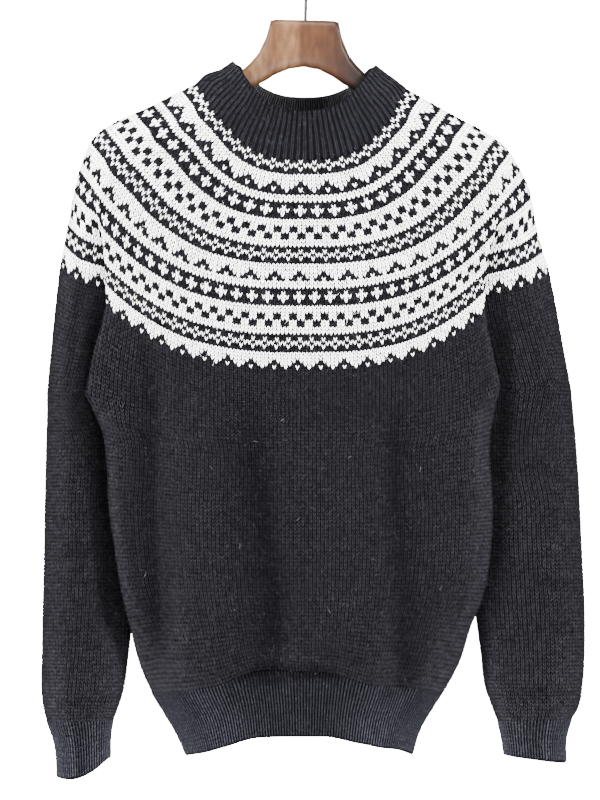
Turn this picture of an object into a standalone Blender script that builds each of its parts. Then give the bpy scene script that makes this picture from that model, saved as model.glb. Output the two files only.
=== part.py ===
"""Knitted sweater with a round patterned yoke, hanging on a wooden hanger with a wire hook.

The frame is right-handed, +Z up, and the sweater's front faces -Y. The origin is the inside
top of the hook, where a rail carries it. The tables are in millimetres, the meshes in metres.
Sides are the wearer's: the wearer's right is at -X.
"""
import math
from collections import namedtuple

import bmesh
import bpy
import numpy as np

MM = 0.001
SHARP_ANGLE = math.radians(50.0)

# Walls
KNIT_THICKNESS = 3.0
COLLAR_THICKNESS = 5.0
RIB_BAND_THICKNESS = 3.4
SEAM_SHIFT = 0.18
BAND_GAP = 0.35
LARGEST_MITER = 1.7

# Ribs: one crest and one groove each
COLLAR_RIBS = 104
HEM_RIBS = 112
CUFF_RIBS = 40
RIB_CREST = 0.9
RIB_GROOVE = -0.6

# The hanger leans to the wearer's left, about the hook's inside top
HANGER_TILT = math.radians(1.45)
SHOULDER_SLOPE = 0.53
RIDGE_START = (112.0, -140.5)
SHOULDER_REACH = {0: 112.0, 14: 163.0, 28: 216.0}
TIP_DROP = {0: 0.0, 14: 0.0, 28: 2.5}
# Between the arm's top and the cloth's inner crest, which is sharper than the arm and rests on its shoulders
SEAT_GAP = 2.6

# Hook
WIRE_RADIUS = 1.8
HOOK_INNER_RADIUS = 20.0
HOOK_BEND_RADIUS = 8.0
HOOK_END_ANGLE = math.radians(205.0)
NECK_TOP = -71.7
HOOK_GAP = 0.3

RIGHT, LEFT = -1, 1

# Front to back, by knit row: how far each line of the garment lies before (-) or behind (+) the hook
Depth = namedtuple(
    "Depth",
    "row front_y front_z edge_y fold sleeve_front_y side_y sleeve_back_y tuck back_edge_y back_y back_z",
)
DEPTHS = [
    Depth(0, -60, -220, -44, 0, -24, 0, 24, 0, 42, 56, -196),
    Depth(14, -63, -271, -44, 0, -26, 0, 26, 0, 42, 58, -247),
    Depth(28, -64, -321, -43, 0, -25, 0, 26, 0, 42, 58, -299),
    Depth(40, -64, -365, -42, 4, -28, 2, 34, 4, 44, 57, -344),
    Depth(50, -63, -402, -38, 12, -25, 5, 42, 8, 42, 56, -381),
    Depth(60, -62, -438, -36, 20, -22, 8, 48, 12, 41, 56, -418),
    Depth(74, -61, -464, -33, 20, -18, 14, 58, 26, 40, 54, -447),
    Depth(88, -60, -492, -28, 18, -14, 24, 66, 45, 40, 52, -480),
]

# Body edge and outer sleeve line on each side, as distances from the hook's line and heights
Side = namedtuple("Side", "row edge_x edge_z side_x side_z")
SIDES = {
    RIGHT: [
        Side(0, 84, -181.5, None, None),
        Side(14, 130, -208, None, None),
        Side(28, 182, -242, None, None),
        Side(40, 209, -285, 240.5, -241.6),
        Side(50, 209, -328, 249, -285),
        Side(60, 208, -370, 257.4, -328),
        Side(74, 220, -418, 265, -395),
        Side(88, 230, -465, 271.5, -462),
    ],
    LEFT: [
        Side(0, 82, -186, None, None),
        Side(14, 126, -215, None, None),
        Side(28, 176, -250, None, None),
        Side(40, 196, -292, 236.3, -249),
        Side(50, 190, -334, 245, -293),
        Side(60, 189, -376, 257.4, -335),
        Side(74, 196, -415, 270, -400),
        Side(88, 205, -456, 281, -458),
    ],
}

# Body below the underarms, in the same row count
Body = namedtuple("Body", "row right_x left_x edge_z edge_y front_y front_z back_y back_z")
BODY = [
    Body(98, 212, 194, -502, -22, -59, -521, 50, -514),
    Body(118, 204.7, 196, -576, -20, -58, -584, 50, -580),
    Body(135, 196, 193, -639, -18, -58, -640, 52, -638),
    Body(147, 189, 184.6, -682, -14, -60, -678, 56, -677),
    Body(155, 182.5, 173, -709, -10, -62, -702, 60, -701),
    Body(163, 174, 162.5, -740, -5, -62, -729, 60, -729),
    Body(172, 159.3, 144, -774, 0, -57, -757, 54, -757),
]

# The hem rib's middle and lower edge
HEM = [
    Body(182, 137.5, 121.5, -814, 0, -53, -793, 52, -793),
    Body(190, 124.5, 113, -843, 0, -52, -822.4, 52, -821),
]

# Sleeves and cuffs below the underarms
Sleeve = namedtuple("Sleeve", "row outer_x inner_x outer_z inner_z middle_y half_depth")
SLEEVES = {
    RIGHT: [
        Sleeve(98, 273, 186, -502, -502, 33, 37),
        Sleeve(118, 275, 182, -576, -576, 35, 37),
        Sleeve(135, 276, 180, -639, -639, 36, 37),
        Sleeve(152, 277.5, 183, -703, -703, 34, 38),
        Sleeve(162, 278, 187, -740, -740, 31, 38),
        Sleeve(170, 278.5, 191, -771, -771, 28, 38),
        Sleeve(177, 276, 198, -796, -796, 25, 36),
        Sleeve(181, 272, 203, -812, -809, 23, 33),
    ],
    LEFT: [
        Sleeve(98, 286, 174, -502, -502, 34, 38),
        Sleeve(118, 291, 174, -576, -576, 36, 39),
        Sleeve(135, 294, 176, -639, -639, 37, 40),
        Sleeve(152, 296.5, 182, -703, -703, 35, 41),
        Sleeve(162, 296, 187, -740, -740, 32, 41),
        Sleeve(170, 294, 190.5, -771, -771, 29, 40),
        Sleeve(177, 289, 199, -796, -796, 26, 37),
        Sleeve(181, 282, 204.5, -808, -810, 24, 33),
    ],
}
# Each cuff rib's middle and lower edge
CUFFS = {
    RIGHT: [
        Sleeve(186, 264, 205.5, -835, -826, 22, 28.5),
        Sleeve(192, 261.6, 205.7, -866, -848, 21, 28),
    ],
    LEFT: [
        Sleeve(186, 276.5, 208, -829, -826, 23, 29),
        Sleeve(192, 276.2, 211, -853, -845, 22, 28.5),
    ],
}

# Collar, from the yoke's edge to its upper edge
Collar = namedtuple("Collar", "right_x right_z left_x left_z front_y front_z back_y back_z")
COLLAR = [
    Collar(103.5, -126.5, 97.5, -134, -56.5, -201, 53, -181),
    Collar(88, -119.5, 86, -124, -51, -181, 49, -165),
    Collar(76.5, -113, 75.5, -117, -47, -164.6, 45, -152),
]

# Hanger, mirrored about its middle: half sections of the wood, from the neck to the arm's end.
# A section with roundness 1 is an ellipse, and a lower one has flatter faces.
Wood = namedtuple("Wood", "reach top bottom half_depth roundness")
HANGER = [
    Wood(0, NECK_TOP, -118.2, 9.5, 0.55),
    Wood(16, NECK_TOP, -120.9, 9.5, 0.55),
    Wood(31, NECK_TOP, -127.8, 9.5, 0.55),
    Wood(36, -73.2, -131.4, 9.5, 0.55),
    Wood(40, -88.5, -134.0, 9.5, 0.6),
    Wood(48, -105.5, -138.6, 9.5, 0.65),
    Wood(56, -114.8, -143.2, 9.5, 0.7),
    Wood(66, -124.6, -148.8, 9.5, 0.75),
    Wood(88, -137.4, -160.0, 9.6, 0.85),
    Wood(112, -149.6, -171.0, 9.8, 1.0),
]
ARM_STATIONS = (128.0, 146.0, 163.0, 180.0, 194.0)
ARM_HEIGHT = 21.5
ARM_HALF_DEPTH = 10.0
ARM_END = ((200.0, 0.9), (205.0, 0.66), (208.0, 0.3))
ARM_END_DROP = 1.6
WOOD_SIDES = 14

# Places of the fold lines between body and sleeves in a ring, counted from the middle of the front
TROUGH, BACK_TROUGH = 5, 9

# How far towards the body's edge each point of the front and back lies
FRONT_SHARES = (0.0, 0.3, 0.58, 0.82)
BACK_SHARES = (0.8, 0.55, 0.28, 0.0)
BODY_BACK_SHARES = (0.975, 0.93, 0.86, 0.68, 0.47, 0.24, 0.0)
SLEEVE_ANGLES = (-50, -112, 180, 112, 42, -5)

# How the front and back round off towards the body's edge: larger powers keep the middle flatter
DEPTH_POWER = 2.4
DROP_POWER = 3
FRONT_ROUNDNESS = 0.62
BACK_ROUNDNESS = 0.7
COLLAR_SADDLE_POWER = 2.6

# Where a ring's points lie between the body's edge and the sleeve's outer line
SLEEVE_SHARE = 0.62
TROUGH_SHARE = 0.52
TROUGH_OFFSET = (3.0, -2.0, 0.0)
FULL_FOLD = 12.0
BACK_EDGE_SHARE = 0.4
UNDERARM_GAP = (0.15, 0.13, 0.0)

# Steps between neighbouring points round each half ring, and round a sleeve
UPPER_STEPS = (2,) * 13
BODY_STEPS = (2,) * 11
SLEEVE_STEPS = (2,) * 6
HEM_STEPS = (4,) * 22
CUFF_STEPS = (8,) * 6
COLLAR_STEP_DEGREES = 4

# Knit rows at which the cloth has a ring of points

UPPER_ROWS = (0, 7, 14, 21, 28, 34, 40, 45, 50, 55, 60, 67, 74, 81, 88)
YOKE_EDGE_ROW = 60
UNDERARM_ROW = 88
BODY_ROWS = (93, 98, 108, 118, 127, 135, 141, 147, 155, 163, 172)
SLEEVE_ROWS = (93, 98, 108, 118, 127, 135, 144, 152, 162, 170, 177, 181)


def between(low, high, share):
    """The point a share of the way from low to high."""
    return low + (high - low) * share


def hermite(start, end, start_slope, end_slope, s):
    """A cubic from start to end, s from 0 to 1."""
    return (
        (2 * s**3 - 3 * s**2 + 1) * start
        + (s**3 - 2 * s**2 + s) * start_slope
        + (3 * s**2 - 2 * s**3) * end
        + (s**3 - s**2) * end_slope
    )


def through(keys, values, key):
    """A smooth curve through the values at the keys, read at one key."""
    keys = np.asarray(keys, float)
    values = np.asarray(values, float)
    slopes = np.gradient(values, keys, axis=0)
    span = int(np.clip(np.searchsorted(keys, key, side="right") - 1, 0, len(keys) - 2))
    width = keys[span + 1] - keys[span]
    s = (key - keys[span]) / width
    return hermite(values[span], values[span + 1], slopes[span] * width, slopes[span + 1] * width, s)


def closed_curve(controls, steps):
    """A smooth closed curve through the controls, with the given number of steps after each."""
    slope = (np.roll(controls, -1, axis=0) - np.roll(controls, 1, axis=0)) / 2
    points = []
    for first, count in enumerate(steps):
        second = (first + 1) % len(controls)
        for step in range(count):
            points.append(
                hermite(controls[first], controls[second], slope[first], slope[second], step / count)
            )
    return np.array(points)


def tilted(x, z):
    """A point of the hanger's plane, leaned with the hanger."""
    cos, sin = math.cos(HANGER_TILT), math.sin(HANGER_TILT)
    return x * cos + z * sin, z * cos - x * sin


def ridge(reach):
    """Height of the cloth along the shoulder, in the hanger's plane."""
    start, height = RIDGE_START
    return height - SHOULDER_SLOPE * (reach - start)


def side_lines(side, row):
    """The row of SIDES, with the shoulder's own points where the hanger carries the cloth."""
    if row.side_x is not None:
        return row
    reach = SHOULDER_REACH[row.row]
    x, z = tilted(side * reach, ridge(reach) - TIP_DROP[row.row])
    return row._replace(side_x=side * x, side_z=z)


def upper_side(side, depth, row):
    """Points of one side of a ring above the underarms, from the front's first point to the back's last."""
    row = side_lines(side, row)
    points = []
    for share in FRONT_SHARES[1:]:
        points.append((
            share * row.edge_x,
            between(depth.front_y, depth.edge_y, share**DEPTH_POWER),
            between(depth.front_z, row.edge_z, share**DROP_POWER),
        ))
    edge = np.array((row.edge_x, depth.edge_y, row.edge_z))
    sleeve_front = np.array((
        between(row.edge_x, row.side_x, SLEEVE_SHARE),
        depth.sleeve_front_y,
        between(row.edge_z, row.side_z, SLEEVE_SHARE),
    ))
    smooth = between(edge, sleeve_front, TROUGH_SHARE) + np.array(TROUGH_OFFSET)
    folded = between(edge, sleeve_front, (0.0, 0.0, 0.5)) + np.array((-depth.fold / 2, depth.fold, 0.0))
    trough = between(smooth, folded, min(depth.fold / FULL_FOLD, 1.0))
    back_z = row.edge_z + BACK_EDGE_SHARE * (depth.back_z - depth.front_z)
    back_edge = (row.edge_x - depth.tuck, depth.back_edge_y, back_z)
    sleeve_back = (
        between(row.edge_x - depth.tuck, row.side_x, SLEEVE_SHARE),
        depth.sleeve_back_y,
        between(back_z, row.side_z, SLEEVE_SHARE),
    )
    points += [edge, trough, sleeve_front, (row.side_x, depth.side_y, row.side_z), sleeve_back, back_edge]
    for share in BACK_SHARES[:-1]:
        points.append((
            share * (row.edge_x - depth.tuck),
            between(depth.back_y, depth.back_edge_y, share**DEPTH_POWER),
            between(depth.back_z, back_z, share**DROP_POWER),
        ))
    return np.array([(side * x, y, z) for x, y, z in points])


def upper_controls(index):
    """All the points of one ring of the table, from the middle of the front round by the wearer's right."""
    depth = DEPTHS[index]
    right = upper_side(RIGHT, depth, SIDES[RIGHT][index])
    left = upper_side(LEFT, depth, SIDES[LEFT][index])
    front = (0.0, depth.front_y, depth.front_z)
    back = (0.0, depth.back_y, depth.back_z)
    return np.vstack([front, right, back, left[::-1]])


def body_side(side, row):
    """Points of one side of a ring of the body: a flat lens in plan, its edge towards the front."""
    edge_x = row.right_x if side == RIGHT else row.left_x
    points = []
    for share in FRONT_SHARES[1:] + (1.0,):
        points.append((
            share * edge_x,
            between(row.edge_y, row.front_y, (1 - share**DEPTH_POWER) ** FRONT_ROUNDNESS),
            between(row.front_z, row.edge_z, share**DROP_POWER),
        ))
    for share in BODY_BACK_SHARES[:-1]:
        points.append((
            share * edge_x,
            between(row.edge_y, row.back_y, (1 - share**2) ** BACK_ROUNDNESS),
            between(row.back_z, row.edge_z, share**DROP_POWER),
        ))
    return np.array([(side * x, y, z) for x, y, z in points])


def body_controls(row):
    right, left = body_side(RIGHT, row), body_side(LEFT, row)
    front = (0.0, row.front_y, row.front_z)
    back = (0.0, row.back_y, row.back_z)
    return np.vstack([front, right, back, left[::-1]])


def sleeve_controls(side, row):
    """Points of a ring of a sleeve, from the front trough round by its outer side to the inner side."""
    middle_x = (row.outer_x + row.inner_x) / 2
    half_width = (row.outer_x - row.inner_x) / 2
    points = []
    for angle in SLEEVE_ANGLES:
        out = -math.cos(math.radians(angle))
        x = middle_x + half_width * out
        y = row.middle_y + row.half_depth * math.sin(math.radians(angle))
        points.append((side * x, y, between(row.inner_z, row.outer_z, (1 + out) / 2)))
    return np.array(points)


def bridge(first, second, count, inward):
    """Points between two ends of the underarm, moved a little into their own side."""
    shares = np.arange(1, count) / count
    return first + (second - first) * shares[:, None] + np.array(inward)


class Cloth:
    """The garment's outer surface: shared points, and each piece's faces."""

    def __init__(self):
        self.points = []
        self.faces = {}

    def add(self, points):
        start = len(self.points)
        self.points.extend(np.asarray(points, float))
        return list(range(start, start + len(points)))

    def strip(self, piece, upper, lower):
        """One row of faces between two lines of points, facing out where the lines run clockwise in plan."""
        for k in range(len(upper) - 1):
            face = (upper[k], upper[k + 1], lower[k + 1], lower[k])
            self.faces.setdefault(piece, []).append(face)

    def normals(self):
        """Outward normals, lengthened at sharp folds so that an even wall stays even."""
        points = np.array(self.points)
        total = np.zeros_like(points)
        faces = np.array([face for piece in self.faces.values() for face in piece])
        a, b, c, d = (points[faces[:, k]] for k in range(4))
        cross = np.cross(c - a, d - b)
        unit = cross / np.linalg.norm(cross, axis=1)[:, None]
        for k in range(4):
            np.add.at(total, faces[:, k], unit)
        total /= np.linalg.norm(total, axis=1)[:, None]
        reach = np.zeros(len(points))
        count = np.zeros(len(points))
        for k in range(4):
            np.add.at(reach, faces[:, k], (total[faces[:, k]] * unit).sum(axis=1))
            np.add.at(count, faces[:, k], 1)
        miter = np.clip(count / reach, 1.0, LARGEST_MITER)
        return total * miter[:, None]


def build_cloth():
    """The whole knitted surface between the collar and the rib bands, as one net of rings."""
    cloth = Cloth()
    table_rows = [depth.row for depth in DEPTHS]
    table = np.array([upper_controls(index) for index in range(len(DEPTHS))])
    steps = UPPER_STEPS + UPPER_STEPS[::-1]
    starts = np.concatenate([[0], np.cumsum(steps)])
    front_end, back_start = starts[TROUGH], starts[BACK_TROUGH]
    rings = []
    for row in UPPER_ROWS:
        rings.append(cloth.add(closed_curve(through(table_rows, table, row), steps)))
    size = len(rings[0])

    def span(ring, first, last):
        return [ring[k % size] for k in range(first, last + 1)]

    spans = {
        "front": (-front_end, front_end),
        "sleeve_right": (front_end, back_start),
        "back": (back_start, size - back_start),
        "sleeve_left": (size - back_start, size - front_end),
    }
    for row, upper, lower in zip(UPPER_ROWS, rings, rings[1:]):
        if row < YOKE_EDGE_ROW:
            cloth.strip("yoke", upper + upper[:1], lower + lower[:1])
            continue
        for piece, (first, last) in spans.items():
            cloth.strip(piece, span(upper, first, last), span(lower, first, last))

    underarm = rings[-1]
    lines = {piece: span(underarm, first, last) for piece, (first, last) in spans.items()}
    body_end = add_body(cloth, table[-1], lines)
    sleeve_ends = {side: add_sleeve(cloth, side, table[-1], lines) for side in (RIGHT, LEFT)}
    return cloth, rings[0], body_end, sleeve_ends


def add_body(cloth, underarm, lines):
    """Front and back below the underarms, down to the hem rib. Returns the lowest ring."""
    steps = BODY_STEPS + BODY_STEPS[::-1]
    starts = np.concatenate([[0], np.cumsum(steps)])
    strip = BODY_STEPS[TROUGH] + BODY_STEPS[TROUGH + 1]
    out, forward, up = UNDERARM_GAP
    points = cloth.points
    front, back = lines["front"], lines["back"]
    bridges = {
        RIGHT: cloth.add(bridge(points[front[-1]], points[back[0]], strip, (out, -forward, up))),
        LEFT: cloth.add(bridge(points[back[-1]], points[front[0]], strip, (-out, -forward, up))),
    }
    half_front = len(front) // 2
    first_ring = front[half_front:] + bridges[RIGHT] + back + bridges[LEFT] + front[:half_front]

    rows = [UNDERARM_ROW] + [row.row for row in BODY]
    controls = np.array([body_like(underarm)] + [body_controls(row) for row in BODY])
    rings = [first_ring]
    for row in BODY_ROWS:
        rings.append(cloth.add(closed_curve(through(rows, controls, row), steps)))
    size = len(first_ring)
    seam = starts[TROUGH + 1]
    for upper, lower in zip(rings, rings[1:]):
        for piece, first, last in (("front", -seam, seam), ("back", seam, size - seam)):
            wanted = range(first, last + 1)
            cloth.strip(piece, [upper[k % size] for k in wanted], [lower[k % size] for k in wanted])
    return rings[-1]


def body_like(controls):
    """The underarm ring's points in the order of a body ring, with the underarm's middle in place of the sleeves."""
    half = len(controls) // 2
    right = controls[: half + 1]
    left = np.vstack([controls[half:], controls[:1]])
    front_right, back_right = right[: TROUGH + 1], right[BACK_TROUGH:]
    back_left, front_left = left[: half - BACK_TROUGH + 1], left[half - TROUGH : -1]
    middle_right = (front_right[-1:] + back_right[:1]) / 2
    middle_left = (back_left[-1:] + front_left[:1]) / 2
    return np.vstack([front_right, middle_right, back_right, back_left[1:], middle_left, front_left])


def add_sleeve(cloth, side, underarm, lines):
    """One sleeve below the underarm, down to its cuff rib. Returns the lowest ring."""
    piece = "sleeve_right" if side == RIGHT else "sleeve_left"
    line = lines[piece] if side == RIGHT else lines[piece][::-1]
    points = cloth.points
    strip = SLEEVE_STEPS[-2] + SLEEVE_STEPS[-1]
    out, back, up = UNDERARM_GAP
    inner = cloth.add(bridge(points[line[-1]], points[line[0]], strip, (side * out, back, up)))
    first_ring = line + inner

    if side == RIGHT:
        outer = underarm[TROUGH : BACK_TROUGH + 1]
    else:
        outer = underarm[::-1][TROUGH - 1 : BACK_TROUGH]
    first = np.vstack([outer, (outer[:1] + outer[-1:]) / 2])
    rows = [UNDERARM_ROW] + [row.row for row in SLEEVES[side]]
    controls = np.array([first] + [sleeve_controls(side, row) for row in SLEEVES[side]])
    rings = [first_ring]
    for row in SLEEVE_ROWS:
        rings.append(cloth.add(closed_curve(through(rows, controls, row), SLEEVE_STEPS)))
    for upper, lower in zip(rings, rings[1:]):
        upper, lower = upper + upper[:1], lower + lower[:1]
        if side == LEFT:
            upper, lower = upper[::-1], lower[::-1]
        cloth.strip(piece, upper, lower)
    return rings[-1] if side == RIGHT else rings[-1][:1] + rings[-1][:0:-1]


def add_object(name, points, faces, material):
    """A mesh object from points in millimetres, shaded smooth but for its sharp edges."""
    mesh = bpy.data.meshes.new(name)
    mesh.from_pydata([tuple(point) for point in np.asarray(points) * MM], [], faces)
    mesh.validate()
    shape = bmesh.new()
    shape.from_mesh(mesh)
    bmesh.ops.triangulate(shape, faces=shape.faces)
    shape.to_mesh(mesh)
    shape.free()
    mesh.shade_smooth()
    mesh.set_sharp_from_angle(angle=SHARP_ANGLE)
    mesh.materials.append(material)
    thing = bpy.data.objects.new(name, mesh)
    bpy.context.scene.collection.objects.link(thing)
    return thing


def knit_panel(cloth, piece, normals, material):
    """One piece of the cloth as a closed wall, its shared edges drawn back for the seams."""
    faces = cloth.faces[piece]
    used = sorted({index for face in faces for index in face})
    place = {index: k for k, index in enumerate(used)}
    points = np.array(cloth.points)
    outer = points[used].copy()
    normal = normals[used]
    shared = {index for name, others in cloth.faces.items() if name != piece for face in others for index in face}
    pull = np.zeros_like(outer)
    for face in faces:
        middle = points[list(face)].mean(axis=0)
        for index in face:
            if index in shared:
                pull[place[index]] += middle - points[index]
    unit = normal / np.linalg.norm(normal, axis=1)[:, None]
    pull -= (pull * unit).sum(axis=1)[:, None] * unit
    length = np.linalg.norm(pull, axis=1)
    moved = length > 0
    outer[moved] += SEAM_SHIFT * pull[moved] / length[moved, None]
    inner = outer - KNIT_THICKNESS * normal
    count = len(used)
    solid = []
    edges = {}
    for face in faces:
        a, b, c, d = (place[index] for index in face)
        solid.append((a, b, c, d))
        solid.append((d + count, c + count, b + count, a + count))
        for edge in ((a, b), (b, c), (c, d), (d, a)):
            edges[edge] = True
    for a, b in edges:
        if (b, a) not in edges:
            solid.append((b, a, a + count, b + count))
    return add_object(piece, np.vstack([outer, inner]), solid, material)


def along(points, closed_values, count):
    """Values read at equal distances along a closed line of points, from its first point."""
    line = np.vstack([points, points[:1]])
    values = np.vstack([closed_values, closed_values[:1]])
    reach = np.concatenate([[0], np.cumsum(np.linalg.norm(np.diff(line, axis=0), axis=1))])
    wanted = np.arange(count) / count * reach[-1]
    return np.column_stack([np.interp(wanted, reach, values[:, k]) for k in range(values.shape[1])])


def ribbed_band(name, start, start_normals, curves, ribs, thickness, upwards, material):
    """A ribbed band that carries on from a line of the cloth: crests and grooves outside, plain inside."""
    fine = 2 * ribs
    rings = [along(start, start, fine)]
    for curve in curves:
        rings.append(along(curve, curve, fine))
    rings = np.array(rings)
    normals = [along(start, start_normals, fine)]
    for level in range(1, len(rings)):
        above = rings[level - 1]
        below = rings[min(level + 1, len(rings) - 1)]
        down = above - below if upwards else below - above
        round_way = np.roll(rings[level], -1, axis=0) - np.roll(rings[level], 1, axis=0)
        cross = np.cross(round_way, down)
        normals.append(cross / np.linalg.norm(cross, axis=1)[:, None])
    normals = np.array(normals)
    step = rings[1] - rings[0]
    rings[0] += BAND_GAP * step / np.linalg.norm(step, axis=1)[:, None]
    relief = np.where(np.arange(fine) % 2 == 0, RIB_CREST, RIB_GROOVE)
    outer = rings + normals * relief[None, :, None]
    inner = (rings - normals * thickness)[:, ::2]
    points = np.vstack([outer.reshape(-1, 3), inner.reshape(-1, 3)])
    first_inner = outer.shape[0] * fine
    faces = []
    for level in range(len(rings) - 1):
        for k in range(fine):
            a, b = level * fine + k, level * fine + (k + 1) % fine
            faces.append((a, b, b + fine, a + fine))
        for k in range(ribs):
            a, b = first_inner + level * ribs + k, first_inner + level * ribs + (k + 1) % ribs
            faces.append((a + ribs, b + ribs, b, a))
    for level, turned in ((0, False), (len(rings) - 1, True)):
        for k in range(ribs):
            crest, groove = level * fine + 2 * k, level * fine + 2 * k + 1
            next_crest = level * fine + (2 * k + 2) % fine
            a, b = first_inner + level * ribs + k, first_inner + level * ribs + (k + 1) % ribs
            rim = [(crest, a, groove), (groove, a, b), (groove, b, next_crest)]
            faces += [face[::-1] for face in rim] if turned else rim
    if upwards:
        faces = [face[::-1] for face in faces]
    return add_object(name, points, faces, material)


def make_material(name, color, roughness, metallic=0.0):
    material = bpy.data.materials.new(name)
    material.use_nodes = True
    shader = material.node_tree.nodes["Principled BSDF"]
    shader.inputs["Base Color"].default_value = (*color, 1.0)
    shader.inputs["Roughness"].default_value = roughness
    shader.inputs["Metallic"].default_value = metallic
    return material


def collar_curves():
    """The collar's rings above the yoke's edge, each a saddle: high at the shoulders, low at front and back."""
    curves = []
    turns = np.radians(np.arange(0, 360, COLLAR_STEP_DEGREES))
    across, depth = np.sin(turns), np.cos(turns)
    for row in COLLAR:
        reach = np.where(across > 0, row.right_x, row.left_x)
        middle_z = np.where(depth > 0, row.front_z, row.back_z)
        side_z = np.where(across > 0, row.right_z, row.left_z)
        middle_y = np.where(depth > 0, row.front_y, row.back_y)
        x = -np.sign(across) * reach * np.abs(across)
        y = middle_y * np.abs(depth)
        z = between(middle_z, side_z, np.abs(across) ** COLLAR_SADDLE_POWER)
        curves.append(np.column_stack([x, y, z]))
    return curves


def make_collar(cloth, ring, normals, material):
    points = np.array(cloth.points)[ring]
    return ribbed_band(
        "collar", points, normals[ring], collar_curves(), COLLAR_RIBS, COLLAR_THICKNESS, True, material
    )


def make_hem(cloth, ring, normals, material):
    curves = [closed_curve(body_controls(row), HEM_STEPS) for row in HEM]
    points = np.array(cloth.points)[ring]
    return ribbed_band(
        "hem_rib", points, normals[ring], curves, HEM_RIBS, RIB_BAND_THICKNESS, False, material
    )


def make_cuff(cloth, side, ring, normals, material):
    name = "cuff_right" if side == RIGHT else "cuff_left"
    curves = [closed_curve(sleeve_controls(side, row), CUFF_STEPS) for row in CUFFS[side]]
    if side == LEFT:
        curves = [np.roll(curve[::-1], 1, axis=0) for curve in curves]
    points = np.array(cloth.points)[ring]
    return ribbed_band(
        name, points, normals[ring], curves, CUFF_RIBS, RIB_BAND_THICKNESS, False, material
    )


def hanger_sections():
    """Half of the hanger's sections, from the neck out, the arms just below the cloth that they carry."""
    sections = list(HANGER)
    below_cloth = (KNIT_THICKNESS + SEAT_GAP) * math.hypot(1.0, SHOULDER_SLOPE)
    for reach in ARM_STATIONS:
        top = ridge(reach) - below_cloth
        sections.append(Wood(reach, top, top - ARM_HEIGHT, ARM_HALF_DEPTH, 1.0))
    for reach, share in ARM_END:
        middle = ridge(reach) - below_cloth - ARM_END_DROP - ARM_HEIGHT / 2
        half = ARM_HEIGHT / 2 * share
        sections.append(Wood(reach, middle + half, middle - half, ARM_HALF_DEPTH * share, 1.0))
    return sections


def make_hanger(material):
    """The wooden hanger, lofted along its arms through rounded sections."""
    half = hanger_sections()
    sections = [row._replace(reach=-row.reach) for row in half[:0:-1]] + half
    points, faces = [], []
    for reach, top, bottom, depth, roundness in sections:
        middle, tall = (top + bottom) / 2, (top - bottom) / 2
        for k in range(WOOD_SIDES):
            turn = 2 * math.pi * (k + 0.5) / WOOD_SIDES
            cos, sin = math.cos(turn), math.sin(turn)
            y = depth * math.copysign(abs(cos) ** roundness, cos)
            rise = tall * math.copysign(abs(sin) ** roundness, sin)
            x, z = tilted(reach, middle + rise)
            points.append((x, y, z))
    for level in range(len(sections) - 1):
        for k in range(WOOD_SIDES):
            a, b = level * WOOD_SIDES + k, level * WOOD_SIDES + (k + 1) % WOOD_SIDES
            faces.append((a, b, b + WOOD_SIDES, a + WOOD_SIDES))
    last = (len(sections) - 1) * WOOD_SIDES
    faces.append(tuple(range(WOOD_SIDES))[::-1])
    faces.append(tuple(last + k for k in range(WOOD_SIDES)))
    return add_object("hanger", points, faces, material)


def hook_route():
    """Middle line of the wire: straight up from the neck, out, and round over the top."""
    radius = HOOK_INNER_RADIUS + WIRE_RADIUS
    middle_z = -HOOK_INNER_RADIUS
    lean = math.acos(HOOK_BEND_RADIUS / (radius + HOOK_BEND_RADIUS))
    bend_z = middle_z - (radius + HOOK_BEND_RADIUS) * math.sin(lean)
    route = [(0.0, NECK_TOP + HOOK_GAP), (0.0, between(NECK_TOP, bend_z, 0.5))]
    for share in np.linspace(0, 1, 6)[:-1]:
        turn = lean * share
        route.append((HOOK_BEND_RADIUS * (1 - math.cos(turn)), bend_z + HOOK_BEND_RADIUS * math.sin(turn)))
    for turn in np.linspace(-lean, HOOK_END_ANGLE, 24):
        route.append((radius * math.cos(turn), middle_z + radius * math.sin(turn)))
    return [tilted(x, z) for x, z in route]


def make_hook(material):
    """The wire hook, a round tube along its route."""
    curve = bpy.data.curves.new("hook", "CURVE")
    curve.dimensions = "3D"
    curve.bevel_depth = WIRE_RADIUS * MM
    curve.bevel_resolution = 3
    curve.use_fill_caps = True
    route = hook_route()
    spline = curve.splines.new("POLY")
    spline.points.add(len(route) - 1)
    for point, (x, z) in zip(spline.points, route):
        point.co = (x * MM, 0.0, z * MM, 1.0)
    curve.materials.append(material)
    hook = bpy.data.objects.new("hook", curve)
    bpy.context.scene.collection.objects.link(hook)
    return hook


def main():
    for thing in list(bpy.data.objects):
        bpy.data.objects.remove(thing)
    charcoal = (0.022, 0.022, 0.028)
    yoke_wool = make_material("patterned_wool", (0.35, 0.34, 0.33), 0.95)
    plain_wool = make_material("plain_wool", charcoal, 0.95)
    rib_wool = make_material("rib_wool", charcoal, 0.95)
    wood = make_material("lacquered_wood", (0.28, 0.15, 0.08), 0.35)
    steel = make_material("hook_steel", (0.12, 0.12, 0.12), 0.35, 1.0)

    cloth, neck_ring, body_ring, sleeve_rings = build_cloth()
    normals = cloth.normals()
    knit_panel(cloth, "yoke", normals, yoke_wool)
    for piece in ("front", "back", "sleeve_right", "sleeve_left"):
        knit_panel(cloth, piece, normals, plain_wool)
    make_collar(cloth, neck_ring, normals, rib_wool)
    make_hem(cloth, body_ring, normals, rib_wool)
    for side, ring in sleeve_rings.items():
        make_cuff(cloth, side, ring, normals, rib_wool)
    make_hanger(wood)
    make_hook(steel)


main()
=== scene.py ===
"""Looks of the knitted sweater with a round patterned yoke, on its wooden hanger.

The tables are those of the solids, in millimetres; the meshes are in metres. The cloth is a thin
wall on each solid's form with every stitch raised on it as two plump legs of yarn. Sides are the
wearer's: the wearer's right is at -X, and the front faces -Y.
"""

import math
from collections import namedtuple

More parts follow.
